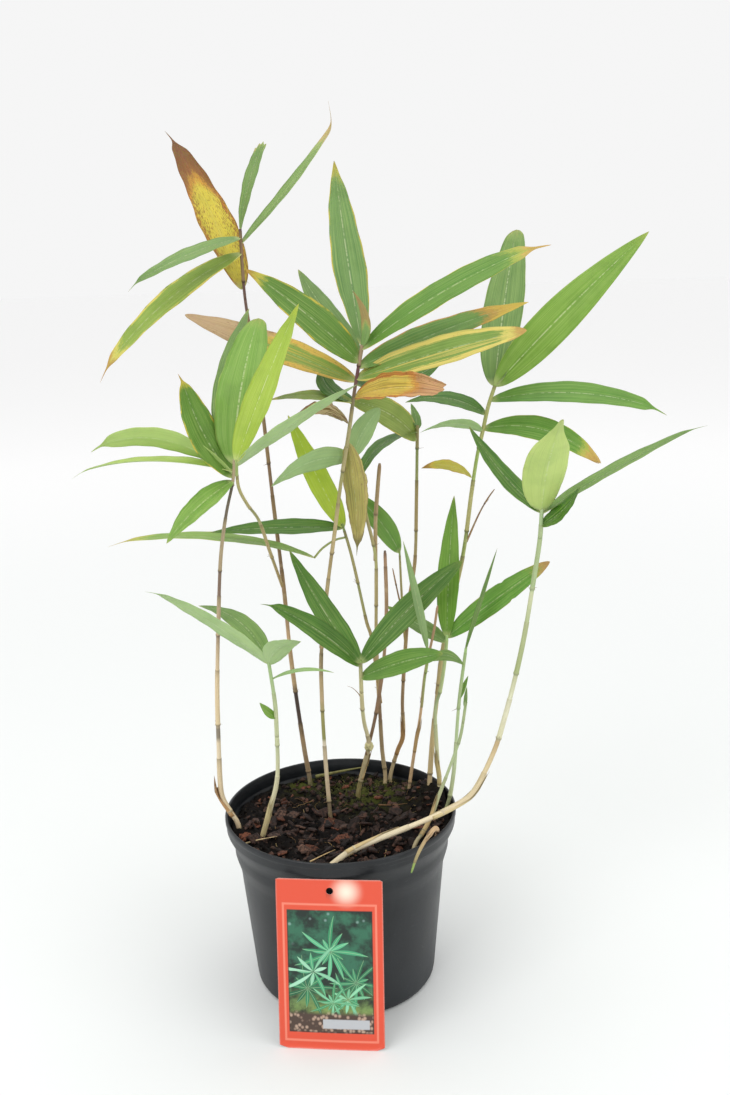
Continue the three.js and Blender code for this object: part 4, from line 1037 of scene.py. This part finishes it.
def bark_finish():
    """Composted bark: layered red-brown to dark chips, each with its own tone, with fibres along its
    length."""
    make = Finish("bark chips")
    x, y, _ = make.split(make.uv())
    tint = make.colour("tint")
    fibre = make.grained(x * 9, y * 1.6, 0.0, 4.0, 0.6)
    pit = make.noise(make.object_place(), 480.0, 3.0, 0.6)
    body = make.mix(fibre.above(0.35, 0.75), tint, make.times(tint, "7a5a48"))
    body = make.mix(pit.above(0.45, 0.62) * 0.8, body, "0d0807")
    return make.surface((fibre + pit * 0.6, 0.0006, 0.8), Base_Color=body, Specular_IOR_Level=0.22,
                        Roughness=0.6 + (pit - 0.5) * 0.3)


def fibre_finish():
    """Pale dry rootlets and twigs."""
    make = Finish("dry rootlets")
    tint = make.colour("tint")
    blot = make.noise(make.object_place(), 300.0, 3.0, 0.6)
    body = make.mix(blot.above(0.4, 0.7) * 0.6, tint, make.times(tint, "8a6a50"))
    return make.surface((blot, 0.0003, 0.6), Base_Color=body, Roughness=0.7 + (blot - 0.5) * 0.3,
                        Specular_IOR_Level=0.35)


def card_finish(red):
    """Printed card: a red ground with a lighter keyline round a picture panel of overlapping sprays of
    leaves over a band of gravel, a plain pale bar, a soft light glow at the top, and a satin film."""
    make = Finish("printed plant card")
    x, y, _ = make.split(make.uv())
    paper = make.noise(make.object_place(), 700.0, 3.0, 0.6)

    def inside(low_x, high_x, low_y, high_y, soft=0.004):
        wide = x.above(low_x - soft, low_x + soft) * x.above(high_x + soft, high_x - soft)
        return wide * y.above(low_y - soft, low_y + soft) * y.above(high_y + soft, high_y - soft)

    def spray(middle_x, middle_y, count, reach, wide, turn, shade, light):
        """Pointed leaves round a middle: the angle is cut in equal shares, each with its own length, and
        a leaf is where the distance across its share is less than a parabola of the distance out."""
        dx, dy = x - middle_x, (y - middle_y) * CARD["aspect"]
        far = (dx * dx + dy * dy) ** 0.5
        share = dy.math("ARCTAN2", dx) * (count / 6.2832) + turn + far * 0.9
        part = share.fraction()
        number = share - part
        out = far / (reach * (0.68 + 0.32 * (number * 2.4 + turn * 3).sin()))
        across = (part - 0.5).abs() * far * (6.2832 / count)
        tone = make.mix((number * 1.7).sin() * 0.5 + 0.5, shade, light)
        tone = make.mix(across.above(wide * 0.12, wide * 0.04) * 0.5, tone, "cfe8b8")
        return make.mix((out * (1 - out) * 4 * wide - across).above(0.0, 0.004), picture, tone)

    ground = make.mix((paper - 0.4) * 0.25, red, "d8553a")
    glow = ((x - 0.66) * (x - 0.66) * 0.36 + (y - 0.93) * (y - 0.93)) ** 0.5
    ground = make.mix(glow.above(0.11, 0.0) * 0.9, ground, "fff0dc")
    keyline = inside(0.055, 0.945, 0.045, 0.86) * (1 - inside(0.075, 0.925, 0.058, 0.848))
    ground = make.mix(keyline * 0.7, ground, "f09078")
    soft = make.grained(x * 5, y * 8, 0.0, 4.0, 0.6)
    picture = make.mix(soft.above(0.38, 0.62), "10241c", "2f6a50")
    spots = make.cells(make.join(x * 9, y * 15), 1.0).above(0.2, 0.05) * y.above(0.55, 0.8)
    picture = make.mix(spots * 0.5, picture, "a9c8c4")
    picture = make.mix(y.above(0.42, 0.2) * soft.above(0.3, 0.6) * 0.7, picture, "93a852")
    for row in SPRAYS:
        picture = spray(*row)
    gravel = make.mix(make.cells(make.join(x * 26, y * 40), 1.0).above(0.15, 0.6), "b89c88", "4a382e")
    picture = make.mix(y.above(0.235, 0.20), picture, gravel)
    picture = make.mix(inside(0.42, 0.86, 0.125, 0.18), picture, "b9bcc0")
    panel = inside(0.1, 0.9, 0.1, 0.82)
    printed = make.mix(panel, ground, picture)
    printed = make.mix(panel * (1 - inside(0.108, 0.892, 0.105, 0.815, 0.002)) * 0.8, printed, "241c18")
    worn = (x - 0.5).abs().above(0.485, 0.5).at_least((y - 0.5).abs().above(0.49, 0.5))
    printed = make.mix(worn * 0.35 * paper, printed, "ffe8dc")
    printed = make.mix(make.number("back"), printed, "e9e6e0")
    return make.surface((paper, 0.00008, 0.4), Base_Color=printed, Roughness=0.32 + (paper - 0.5) * 0.1,
                        Specular_IOR_Level=0.5)


def stage_finish(colour):
    """Plain pale floor with the faintest mottling, which turns to a lighter shade with the distance from
    the pot, so that it meets the pale surroundings without a hard edge."""
    make = Finish("pale floor")
    spot = make.object_place()
    x, y, _ = make.split(spot)
    cloud = make.noise(spot, 3.0, 3.0, 0.5)
    far = ((x * x + y * y) ** 0.5).above(0.5, 2.6)
    near = make.mix((cloud - 0.4) * 0.08, colour, "d8dad8")
    return make.surface(Base_Color=make.mix(far, near, "fefefe"), Roughness=0.85, Specular_IOR_Level=0.1)


FINISHES = {}


def finish(kind, *values):
    """The material of a kind, made once."""
    if kind not in FINISHES:
        FINISHES[kind] = kind(*values)
    return FINISHES[kind]


# Sizes and colours that a user would change

class PotSizes(bpy.types.PropertyGroup):
    """The pot's looks."""

    sectors: IntProperty(name="Sectors", description="Facets round the pot", default=144, min=36, max=288)
    dust: FloatProperty(name="Dust", description="Strength of the dust film", default=1.0, min=0, max=2,
                        subtype="FACTOR")
    colour: FloatVectorProperty(name="Colour", description="Colour of the plastic", subtype="COLOR",
                                default=tuple(linear("0e1115")))


class SoilSizes(bpy.types.PropertyGroup):
    """The peat, and what lies on it."""

    rings: IntProperty(name="Rings", description="Rings of the peat's surface", default=70, min=10, max=150)
    chips: IntProperty(name="Bark chips", description="Number of bark chips", default=520, min=0, max=900)
    crumbs: IntProperty(name="Crumbs", description="Number of peat crumbs", default=900, min=0, max=3000)
    rootlets: IntProperty(name="Rootlets", description="Number of pale rootlets", default=26, min=0, max=300)
    moss: IntProperty(name="Moss", description="Number of hairs of moss", default=420, min=0, max=2000)


class CardSizes(bpy.types.PropertyGroup):
    """The plant card."""

    colour: FloatVectorProperty(name="Ground colour", description="Red of the printed ground",
                                default=tuple(linear("dd4f34")), subtype="COLOR")
    bend: FloatProperty(name="Bend", description="How far the card bows between its long edges",
                        default=0.0006, unit="LENGTH", min=0, max=0.002)


class StageSizes(bpy.types.PropertyGroup):
    """The stage, its light and the camera."""

    lens: FloatProperty(name="Lens", description="Focal length of the camera", default=38.28, min=10, max=200)
    floor: FloatProperty(name="Floor", description="Width of the round floor", default=40.0, unit="LENGTH")
    key: FloatProperty(name="Key light", description="Power of the main light", default=12.0, min=0,
                       unit="POWER")
    colour: FloatVectorProperty(name="Floor colour", description="Colour of the floor", subtype="COLOR",
                                default=tuple(linear("e6e8e7")))


# Pot

def pot_profile():
    """Half section of the pot: out over the underside, up the wall, over the rim and down the inside.
    Each part gives points as steps out from its own radius and heights."""
    outer = [(0, [(0, 0), (30, 0)]),
             (BASE_RADIUS, [(-5.2, 0), (-4.5, 0.15), (-2.6, 0.6), (-1.3, 1.6), (-0.4, 3.2), (0, 5.2),
                            (0.3, 8)]),
             (SHOULDER_RADIUS, [(-0.7, 82), (0, 90), (0.9, 94)]),
             (NECK_RADIUS, [(-0.9, 100), (0, 103.5), (0.1, 108), (0.3, 110), (1.6, 113.5)]),
             (RIM_RADIUS, [(-2.2, 118), (-1.1, 120.4), (-0.75, 121.6), (-0.6, 126), (-0.3, 126.9), (0, 127.5),
                           (0, 130.0), (-0.3, 130.7), (-0.9, POT_HEIGHT), (0.4 - WALL, POT_HEIGHT)])]
    inner = [(RIM_RADIUS, [(-0.1, POT_HEIGHT - 0.3), (-0.4, POT_HEIGHT - 1), (-0.4, 127.5), (-1.4, 125.4),
                           (-0.9, 123.8), (-1.5, 122.4), (-0.8, 121), (-1.1, 120.2), (-2.4, 118)]),
             (NECK_RADIUS, [(0.2, 110), (0, 103)]), (SHOULDER_RADIUS, [(0, 90)]),
             (BASE_RADIUS, [(0.2, 8), (-0.6, 3.4), (-3.5, FLOOR)]), (WALL, [(30, FLOOR), (0, FLOOR)])]
    parts = outer + [(radius - WALL, steps) for radius, steps in inner]
    return np.array([(radius + out, z) for radius, steps in parts for out, z in steps], float)


class BAMBOO_OT_pot(bpy.types.Operator):
    """Makes the pot: a profile turned about its axis, with drain holes cut through the floor"""

    bl_idname = "bamboo.pot"
    bl_label = "Nursery pot"

    def execute(self, context):
        sizes = context.scene.bamboo_pot
        profile = pot_profile()
        angle = circle(sizes.sectors)
        radius, height = profile[1:-1, 0][:, None], profile[1:-1, 1][:, None]
        sag = 1 + 0.0012 * np.sin(2 * angle + 0.7)[None, :] * smooth(height, 20, 120)
        x, y = radius * sag * np.cos(angle), radius * sag * np.sin(angle)
        rings = np.stack(np.broadcast_arrays(x, y, height), -1).reshape(-1, 3)
        points = np.vstack([rings, [(0, 0, 0), (0, 0, FLOOR)]])
        plastic = finish(pot_finish, (*sizes.colour, 1.0), sizes.dust)
        pot = add_mesh("nursery_pot", points, lathe_faces(len(radius), sizes.sectors), [plastic])
        for i in range(DRAIN["count"]):
            turn = i / DRAIN["count"] * 2 * math.pi + DRAIN["turn"]
            round_angle = circle(DRAIN["sides"])
            ring = np.stack([DRAIN["circle"] * math.cos(turn) + DRAIN["radius"] * np.cos(round_angle),
                             DRAIN["circle"] * math.sin(turn) + DRAIN["radius"] * np.sin(round_angle)], -1)
            walls = np.vstack([np.column_stack([ring, np.full(len(ring), z)]) for z in DRAIN["heights"]])
            cutter = add_mesh(f"drain_cutter_{i}", walls, barrel_faces(2, len(ring)), [])
            cut = pot.modifiers.new("Drain", "BOOLEAN")
            cut.object = cutter
            cut.solver = "EXACT"
            with context.temp_override(object=pot, active_object=pot, selected_objects=[pot]):
                bpy.ops.object.modifier_apply(modifier=cut.name)
            bpy.data.objects.remove(cutter)
        place(pot, "pot", "pot")
        return {"FINISHED"}


# Peat

def soil_height(x, y):
    """Level of the peat: a plain with three heaps, each a bell, and three crossing sines."""
    z = np.full(np.broadcast(x, y).shape, float(SOIL_LEVEL))
    for heap_x, heap_y, height, spread in HEAPS:
        z = z + height * np.exp(-((x - heap_x) ** 2 + (y - heap_y) ** 2) / (2 * spread ** 2))
    z = z + 0.9 * np.sin(x * 0.31 + y * 0.17) + 0.7 * np.sin(y * 0.43 - x * 0.11 + 1.3)
    return z + 0.5 * np.sin(x * 0.83 + y * 0.71)


def soil_detail(x, y):
    """Crumbs on the level: soft lumps at three sizes."""
    return 1.1 * lumps(x, y, 0, 3, 11) + 0.8 * lumps(x, y, 0, 5, 5) + 0.5 * lumps(x, y, 0, 8, 2.4)


def peat_top(x, y):
    """Level of the peat's surface with its crumbs."""
    x, y = np.array(x), np.array(y)
    return soil_height(x, y) + soil_detail(x, y)


def inner_radius(z):
    """Radius inside the wall at a height, by straight lines between the profile's points."""
    heights = [FLOOR, 8, 90, 103, 110, 118, 121, POT_HEIGHT - 1]
    radii = [BASE_RADIUS - 3.5, BASE_RADIUS + 0.2, SHOULDER_RADIUS, NECK_RADIUS, NECK_RADIUS + 0.2,
             RIM_RADIUS - 2.4, RIM_RADIUS - 0.8, RIM_RADIUS - 0.4]
    return np.interp(z, heights, np.array(radii) - WALL)


class BAMBOO_OT_peat(bpy.types.Operator):
    """Makes the peat: a filled body that follows the pot's inside, with a crumbly top"""

    bl_idname = "bamboo.peat"
    bl_label = "Peat"

    def execute(self, context):
        rings = context.scene.bamboo_soil.rings
        angle = circle(PEAT_SECTORS)
        wall_heights = np.array([FLOOR + 0.3, 8, 90, 103, 110, 115])
        top_radius = float(inner_radius(SOIL_LEVEL - 1)) - 0.5
        shares = np.linspace(1, 1 / rings, rings)
        radius = np.concatenate([inner_radius(wall_heights) - 0.35, top_radius * shares])[:, None]
        x, y = radius * np.cos(angle), radius * np.sin(angle)
        z = soil_height(x, y) + soil_detail(x, y) * np.minimum((1 - radius / top_radius) * 12 + 0.25, 1)
        z[:len(wall_heights)] = wall_heights[:, None]
        ends = [(0, 0, FLOOR + 0.3), (0, 0, float(soil_height(np.array(0.0), np.array(0.0))))]
        points = np.vstack([np.stack([x, y, z], -1).reshape(-1, 3), ends])
        moss = 0.9 * sum(np.exp(-((points[:, 0] - moss_x) ** 2 + (points[:, 1] - moss_y) ** 2) / breadth)
                         for moss_x, moss_y, breadth in MOSS)
        peat = add_mesh("peat_mix", points, lathe_faces(len(radius), len(angle)), [finish(peat_finish)],
                        numbers={"moss": moss})
        place(peat, "soil", "soil")
        return {"FINISHED"}


def scatter_places(random, count, reach, clear):
    """Random places on the peat within a radius, kept clear of the stems' feet."""
    feet = np.array([PATHS[name].at(PATHS[name].at_height(SOIL_LEVEL + 1))[:2] for name, stem in STEMS.items()
                     if stem.points[0][2] < ROOTED_BELOW])
    radius = reach * np.sqrt(random.random(count * 3))
    angle = random.random(count * 3) * 2 * math.pi
    spots = np.stack([radius * np.cos(angle), radius * np.sin(angle)], -1)
    gap = np.linalg.norm(spots[:, None] - feet[None], axis=2).min(1)
    return spots[gap > clear][:count]


class BAMBOO_OT_bark(bpy.types.Operator):
    """Makes the bark chips: flat, irregular slabs that lie on the peat at all angles"""

    bl_idname = "bamboo.bark"
    bl_label = "Bark chips"

    def execute(self, context):
        random = np.random.default_rng(BARK_SEED)
        gathered = Assembly()
        faces = barrel_faces(len(CHIP_LAYERS), CHIP_SIDES)
        for x, y in scatter_places(random, context.scene.bamboo_soil.chips, 75, 3.4):
            big = random.random() ** 1.5 * (1.15 if y < 15 else 0.5)
            length, width = 3.2 + 11 * big, 2.4 + 7 * big
            thick = 0.7 + 1.5 * random.random()
            angle = circle(CHIP_SIDES) + random.uniform(-0.4, 0.4, CHIP_SIDES)
            outline = np.stack([np.cos(angle) * length / 2, np.sin(angle) * width / 2], -1)
            outline *= random.uniform(0.7, 1.1, CHIP_SIDES)[:, None]
            rows = []
            for level, scale in CHIP_LAYERS:
                lift = level * thick + random.uniform(-0.12, 0.12, CHIP_SIDES)
                rows.append(np.column_stack([outline * scale, lift]))
            tilt = random.uniform(-0.5, 0.5, 2) + random.normal(0, 0.2, 2)
            chip = turned(np.vstack(rows), *tilt, random.uniform(0, 2 * math.pi))
            chip = chip + np.array([x, y, float(peat_top(x, y)) + 0.3 * thick])
            tone = linear(BARK_TONES[random.integers(len(BARK_TONES))]) * random.uniform(0.55, 1.15)
            uv = np.tile(outline / 5 + 0.5, (len(CHIP_LAYERS), 1))
            gathered.add(chip, faces, uv, {"tint": tone}, {"sheath": 0})
        place(gathered.finish("bark_chips", [finish(bark_finish)], rounded=False), "soil")
        return {"FINISHED"}


def turned(points, about_x, about_y, about_z):
    """Points turned about the X, then the Y, then the Z axis."""
    cx, sx, cy, sy = math.cos(about_x), math.sin(about_x), math.cos(about_y), math.sin(about_y)
    cz, sz = math.cos(about_z), math.sin(about_z)
    first = np.array([[1, 0, 0], [0, cx, -sx], [0, sx, cx]])
    second = np.array([[cy, 0, sy], [0, 1, 0], [-sy, 0, cy]])
    third = np.array([[cz, -sz, 0], [sz, cz, 0], [0, 0, 1]])
    return points @ (third @ second @ first).T


class BAMBOO_OT_litter(bpy.types.Operator):
    """Makes the peat crumbs, the pale rootlets, the twigs and the moss on the peat"""

    bl_idname = "bamboo.litter"
    bl_label = "Crumbs and rootlets"

    def execute(self, context):
        sizes = context.scene.bamboo_soil
        random = np.random.default_rng(LITTER_SEED)
        crumbs = Assembly()
        faces = barrel_faces(len(CRUMB_RINGS), CRUMB_SIDES)
        for x, y in scatter_places(random, sizes.crumbs, 77, 2.4):
            size = 0.5 + 1.1 * random.random() ** 2
            rows = []
            for k, (radius, height) in enumerate(CRUMB_RINGS):
                angle = np.linspace(0, 5.03, CRUMB_SIDES) + 0.6 * k
                ring = [np.cos(angle) * radius, np.sin(angle) * radius, np.full(CRUMB_SIDES, height)]
                rows.append(np.column_stack(ring))
            lump = np.vstack(rows)
            lump = lump * size * random.uniform(0.75, 1.25, (len(lump), 1))
            lump = turned(lump, random.uniform(0, 3), random.uniform(0, 3), 0)
            spot = np.array([x, y, float(peat_top(x, y)) + size * 0.25])
            crumbs.add(lump + spot, faces, np.zeros((len(lump), 2)), {}, {"moss": 0})
        place(crumbs.finish("peat_crumbs", [finish(peat_finish)]), "soil")
        strands = Assembly()
        for x, y in scatter_places(random, sizes.rootlets, 70, 3):
            turn = random.uniform(0, 2 * math.pi) + random.uniform(-0.5, 0.5) * np.arange(7)
            reach = random.uniform(1.2, 3.2)
            line = np.stack([x + np.cumsum(np.cos(turn)) * reach, y + np.cumsum(np.sin(turn)) * reach], -1)
            line = line[np.hypot(line[:, 0], line[:, 1]) < 77]
            if len(line) < 4:
                continue
            level = peat_top(line[:, 0], line[:, 1])
            level = level + 0.5 + 1.0 * np.abs(np.sin(np.arange(len(line)) * random.uniform(0.5, 1.4)))
            colour = ROOTLET_TONES[random.integers(len(ROOTLET_TONES))]
            strand(strands, np.column_stack([line, level]), random.uniform(0.14, 0.42), colour)
        for points, radius, colour in TWIGS:
            strand(strands, points, radius, colour, sides=8)
        for _ in range(sizes.moss):
            x, y = random.normal(*MOSS_HAIRS)
            if math.hypot(x, y) > 74:
                continue
            lean = random.normal(0, 1.3, (2, 2))
            tall = random.uniform(1.0, 3.2)
            root = np.array([x, y, float(peat_top(x, y)) - 0.4])
            middle = root + np.array([*lean[0], tall * 0.7])
            points = [root, middle, middle + np.array([*lean[1], tall * 0.2])]
            strand(strands, points, 0.24, MOSS_TONES[random.integers(len(MOSS_TONES))], sides=3)
        place(strands.finish("rootlets", [finish(fibre_finish)]), "soil")
        return {"FINISHED"}


# Plant

class BAMBOO_OT_culms(bpy.types.Operator):
    """Makes the bare culms with their shoots, rings and sheaths, one piece for each culm from the peat"""

    bl_idname = "bamboo.culms"
    bl_label = "Culms"

    def execute(self, context):
        for culm in [name for name, stem in STEMS.items() if not stem.on]:
            gathered = Assembly()
            for name in [culm] + [name for name, stem in STEMS.items() if stem.on == culm and not stem.leafy]:
                path, split = PATHS[name], STEMS[name].split
                stem_shell(gathered, name, 0, path.at_height(split) if split else path.length, 0)
                bristles(gathered, name)
            for sheath in PAPERY:
                if sheath[0] == culm:
                    papery_sheath(gathered, *sheath)
            if culm in KNOTS:
                lumpy_knot(gathered, *KNOTS[culm])
            if culm in STALKS:
                strand(gathered, *STALKS[culm])
            place(gathered.finish(f"culm_{culm}_skin", [finish(culm_finish)]), "culm", f"culm_{culm}")
        return {"FINISHED"}


class BAMBOO_OT_fans(bpy.types.Operator):
    """Makes the fans: the leafy top of each culm, wrapped in sheaths, with its blades"""

    bl_idname = "bamboo.fans"
    bl_label = "Leaf fans"

    def execute(self, context):
        slots = {"leaves_c": "lime_leaf", "leaves_v": "pale_leaf"}
        for node, blades in FANS.items():
            top = node[-1]
            gathered = Assembly()
            for name in [top] + [name for name, stem in STEMS.items() if stem.on == top and stem.leafy]:
                path, split = PATHS[name], STEMS[name].split
                stem_shell(gathered, name, path.at_height(split) if split else 0, path.length, 1)
            for blade in blades:
                blade_shell(gathered, top, blade)
            piece = gathered.finish(f"{node}_fan", [finish(leaf_finish), finish(culm_finish)])
            place(piece, slots.get(node, "green_leaf"), node)
        return {"FINISHED"}


class BAMBOO_OT_dry_blades(bpy.types.Operator):
    """Makes the single dry and yellow blades"""

    bl_idname = "bamboo.dry_blades"
    bl_label = "Dry blades"

    def execute(self, context):
        slots = {"blade_a_autumn": "autumn_leaf", "blade_k_yellow": "yellow_leaf"}
        for node, blade in SINGLE_BLADES.items():
            gathered = Assembly()
            blade_shell(gathered, node.split("_")[1], blade)
            place(gathered.finish(f"{node}_tissue", [finish(leaf_finish)]), slots.get(node, "dry_leaf"), node)
        return {"FINISHED"}


# Card

class BAMBOO_OT_card(bpy.types.Operator):
    """Makes the plant card: a thin sheet with rounded corners and a punched hole that leans on the pot"""

    bl_idname = "bamboo.card"
    bl_label = "Plant card"

    def execute(self, context):
        sizes = context.scene.bamboo_card
        half, height, corner, hole = CARD["width"] / 2, CARD["height"], CARD["corner"], CARD["hole"]
        quarter = np.linspace(0, math.pi / 2, 7)
        corners = ((half - corner, height - corner, quarter),
                   (corner - half, height - corner, quarter + math.pi / 2),
                   (corner - half, corner, quarter + math.pi), (half - corner, corner, quarter - math.pi / 2))
        outline = np.vstack([np.column_stack([x + corner * np.cos(arc), y + corner * np.sin(arc)])
                             for x, y, arc in corners])
        closed = np.vstack([outline, outline[:1]])
        steps = np.concatenate([[0], np.cumsum(np.linalg.norm(np.diff(closed, axis=0), axis=1))])
        # Points on the outline in the directions of equal angles from the hole
        punched = np.array(CARD["punched"])
        count = CARD["rays"]
        seen_at = np.unwrap(np.arctan2(closed[:, 1] - punched[1], closed[:, 0] - punched[0]))
        angle = np.linspace(seen_at[0], seen_at[0] + 2 * math.pi, count, endpoint=False)
        along = np.interp(angle, seen_at, steps)
        rim = np.stack([np.interp(along, steps, closed[:, axis]) for axis in (0, 1)], -1)
        inner = punched + hole * np.stack([np.cos(angle), np.sin(angle)], -1)
        shares = np.concatenate([[0], np.linspace(0.04, 1, CARD["rings"])])[:, None, None]
        flat = (inner[None] * (1 - shares) + rim[None] * shares).reshape(-1, 2)
        bow = sizes.bend / MM * (1 - (flat[:, 0] / half) ** 2)
        points = np.vstack([np.column_stack([flat, bow - depth]) for depth in (0, CARD["thickness"] * 0.5)])
        faces = grid_faces(len(shares), count, True)
        size = len(flat)
        edge = np.arange(count)
        after = (edge + 1) % count
        walls = np.stack([edge, edge + size, after + size, after], -1)
        faces = np.vstack([faces[:, ::-1], faces + size, walls, (walls + size - count)[:, ::-1]])
        lean = math.asin(CARD["lean"] / height)
        x, y, z = points.T
        upright = np.column_stack([x, y * math.sin(lean) - z * math.cos(lean),
                                   y * math.cos(lean) + z * math.sin(lean)])
        stood = turned(upright, 0, 0, math.radians(CARD["yaw"]))
        stood = stood + np.array([*CARD["middle"], -stood[:, 2].min()])
        uv = np.vstack([np.column_stack([(flat[:, 0] + half) / (2 * half), flat[:, 1] / height])] * 2)
        card = add_mesh("plant_card_print", stood, faces, [finish(card_finish, (*sizes.colour, 1.0))], uv=uv,
                        numbers={"back": np.repeat([0.0, 1.0], size)})
        place(card, "card", "plant_card")
        return {"FINISHED"}


# Stage

class BAMBOO_OT_stage(bpy.types.Operator):
    """Makes the floor, the lights and the camera"""

    bl_idname = "bamboo.stage"
    bl_label = "Stage"

    def execute(self, context):
        sizes = context.scene.bamboo_stage
        scene = context.scene
        rings = np.linspace(0.15, 1, STAGE_RINGS)[:, None] ** 3 * sizes.floor / 2 / MM
        turn = circle(STAGE_SIDES)
        level = np.zeros((STAGE_RINGS, STAGE_SIDES))
        points = np.stack([rings * np.cos(turn), rings * np.sin(turn), level], -1).reshape(-1, 3)
        faces = grid_faces(STAGE_RINGS, STAGE_SIDES, True)[:, ::-1].tolist() + [list(range(STAGE_SIDES))]
        add_mesh("floor", points, faces, [finish(stage_finish, (*sizes.colour, 1.0))])
        scene.world = bpy.data.worlds.new("studio")
        scene.world.use_nodes = True
        background = scene.world.node_tree.nodes["Background"]
        background.inputs[0].default_value = (1.0, 1.0, 1.0, 1.0)
        background.inputs[1].default_value = WORLD_STRENGTH
        scene.view_settings.view_transform = "Standard"
        for name, spot, size, share in LIGHTS:
            data = bpy.data.lights.new(name, "AREA")
            data.size = size
            data.energy = sizes.key * share
            lamp = bpy.data.objects.new(name, data)
            lamp.location = spot
            aim = np.array(LIGHT_AIM) - np.array(spot)
            turn = math.atan2(aim[1], aim[0]) - math.pi / 2
            lamp.rotation_euler = (math.acos(-aim[2] / np.linalg.norm(aim)), 0, turn)
            scene.collection.objects.link(lamp)
        data = bpy.data.cameras.new("camera")
        data.lens = sizes.lens
        data.sensor_width = 36
        data.sensor_fit = "AUTO"
        camera = bpy.data.objects.new("camera", data)
        camera.location = CAMERA["spot"]
        camera.rotation_mode = "XYZ"
        camera.rotation_euler = (math.radians(90 - CAMERA["down"]), 0, 0)
        camera.rotation_euler.rotate_axis("Z", math.radians(CAMERA["roll"]))
        scene.collection.objects.link(camera)
        scene.camera = camera
        return {"FINISHED"}


# Panel and registration

PIECES = [BAMBOO_OT_stage, BAMBOO_OT_pot, BAMBOO_OT_peat, BAMBOO_OT_bark, BAMBOO_OT_litter, BAMBOO_OT_culms,
          BAMBOO_OT_fans, BAMBOO_OT_dry_blades, BAMBOO_OT_card]
GROUPS = {"bamboo_pot": PotSizes, "bamboo_soil": SoilSizes, "bamboo_card": CardSizes,
          "bamboo_stage": StageSizes}


class BAMBOO_PT_panel(bpy.types.Panel):
    """Lists the pieces and their sizes"""

    bl_idname = "BAMBOO_PT_panel"
    bl_label = "Potted dwarf bamboo"
    bl_space_type = "VIEW_3D"
    bl_region_type = "UI"
    bl_category = "Bamboo"

    def draw(self, context):
        for piece in PIECES:
            self.layout.operator(piece.bl_idname)
        for name, group in GROUPS.items():
            box = self.layout.box()
            for key in group.__annotations__:
                box.prop(getattr(context.scene, name), key)


def register():
    for group in [*GROUPS.values(), *PIECES, BAMBOO_PT_panel]:
        bpy.utils.register_class(group)
    for name, group in GROUPS.items():
        setattr(bpy.types.Scene, name, PointerProperty(type=group))


def unregister():
    for name in GROUPS:
        delattr(bpy.types.Scene, name)
    for group in reversed([*GROUPS.values(), *PIECES, BAMBOO_PT_panel]):
        bpy.utils.unregister_class(group)


def main():
    """Registers the pieces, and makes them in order."""
    register()
    for operator in (bpy.ops.bamboo.stage, bpy.ops.bamboo.pot, bpy.ops.bamboo.peat, bpy.ops.bamboo.bark,
                     bpy.ops.bamboo.litter, bpy.ops.bamboo.culms, bpy.ops.bamboo.fans,
                     bpy.ops.bamboo.dry_blades, bpy.ops.bamboo.card):
        operator()


if __name__ == "__main__":
    main()
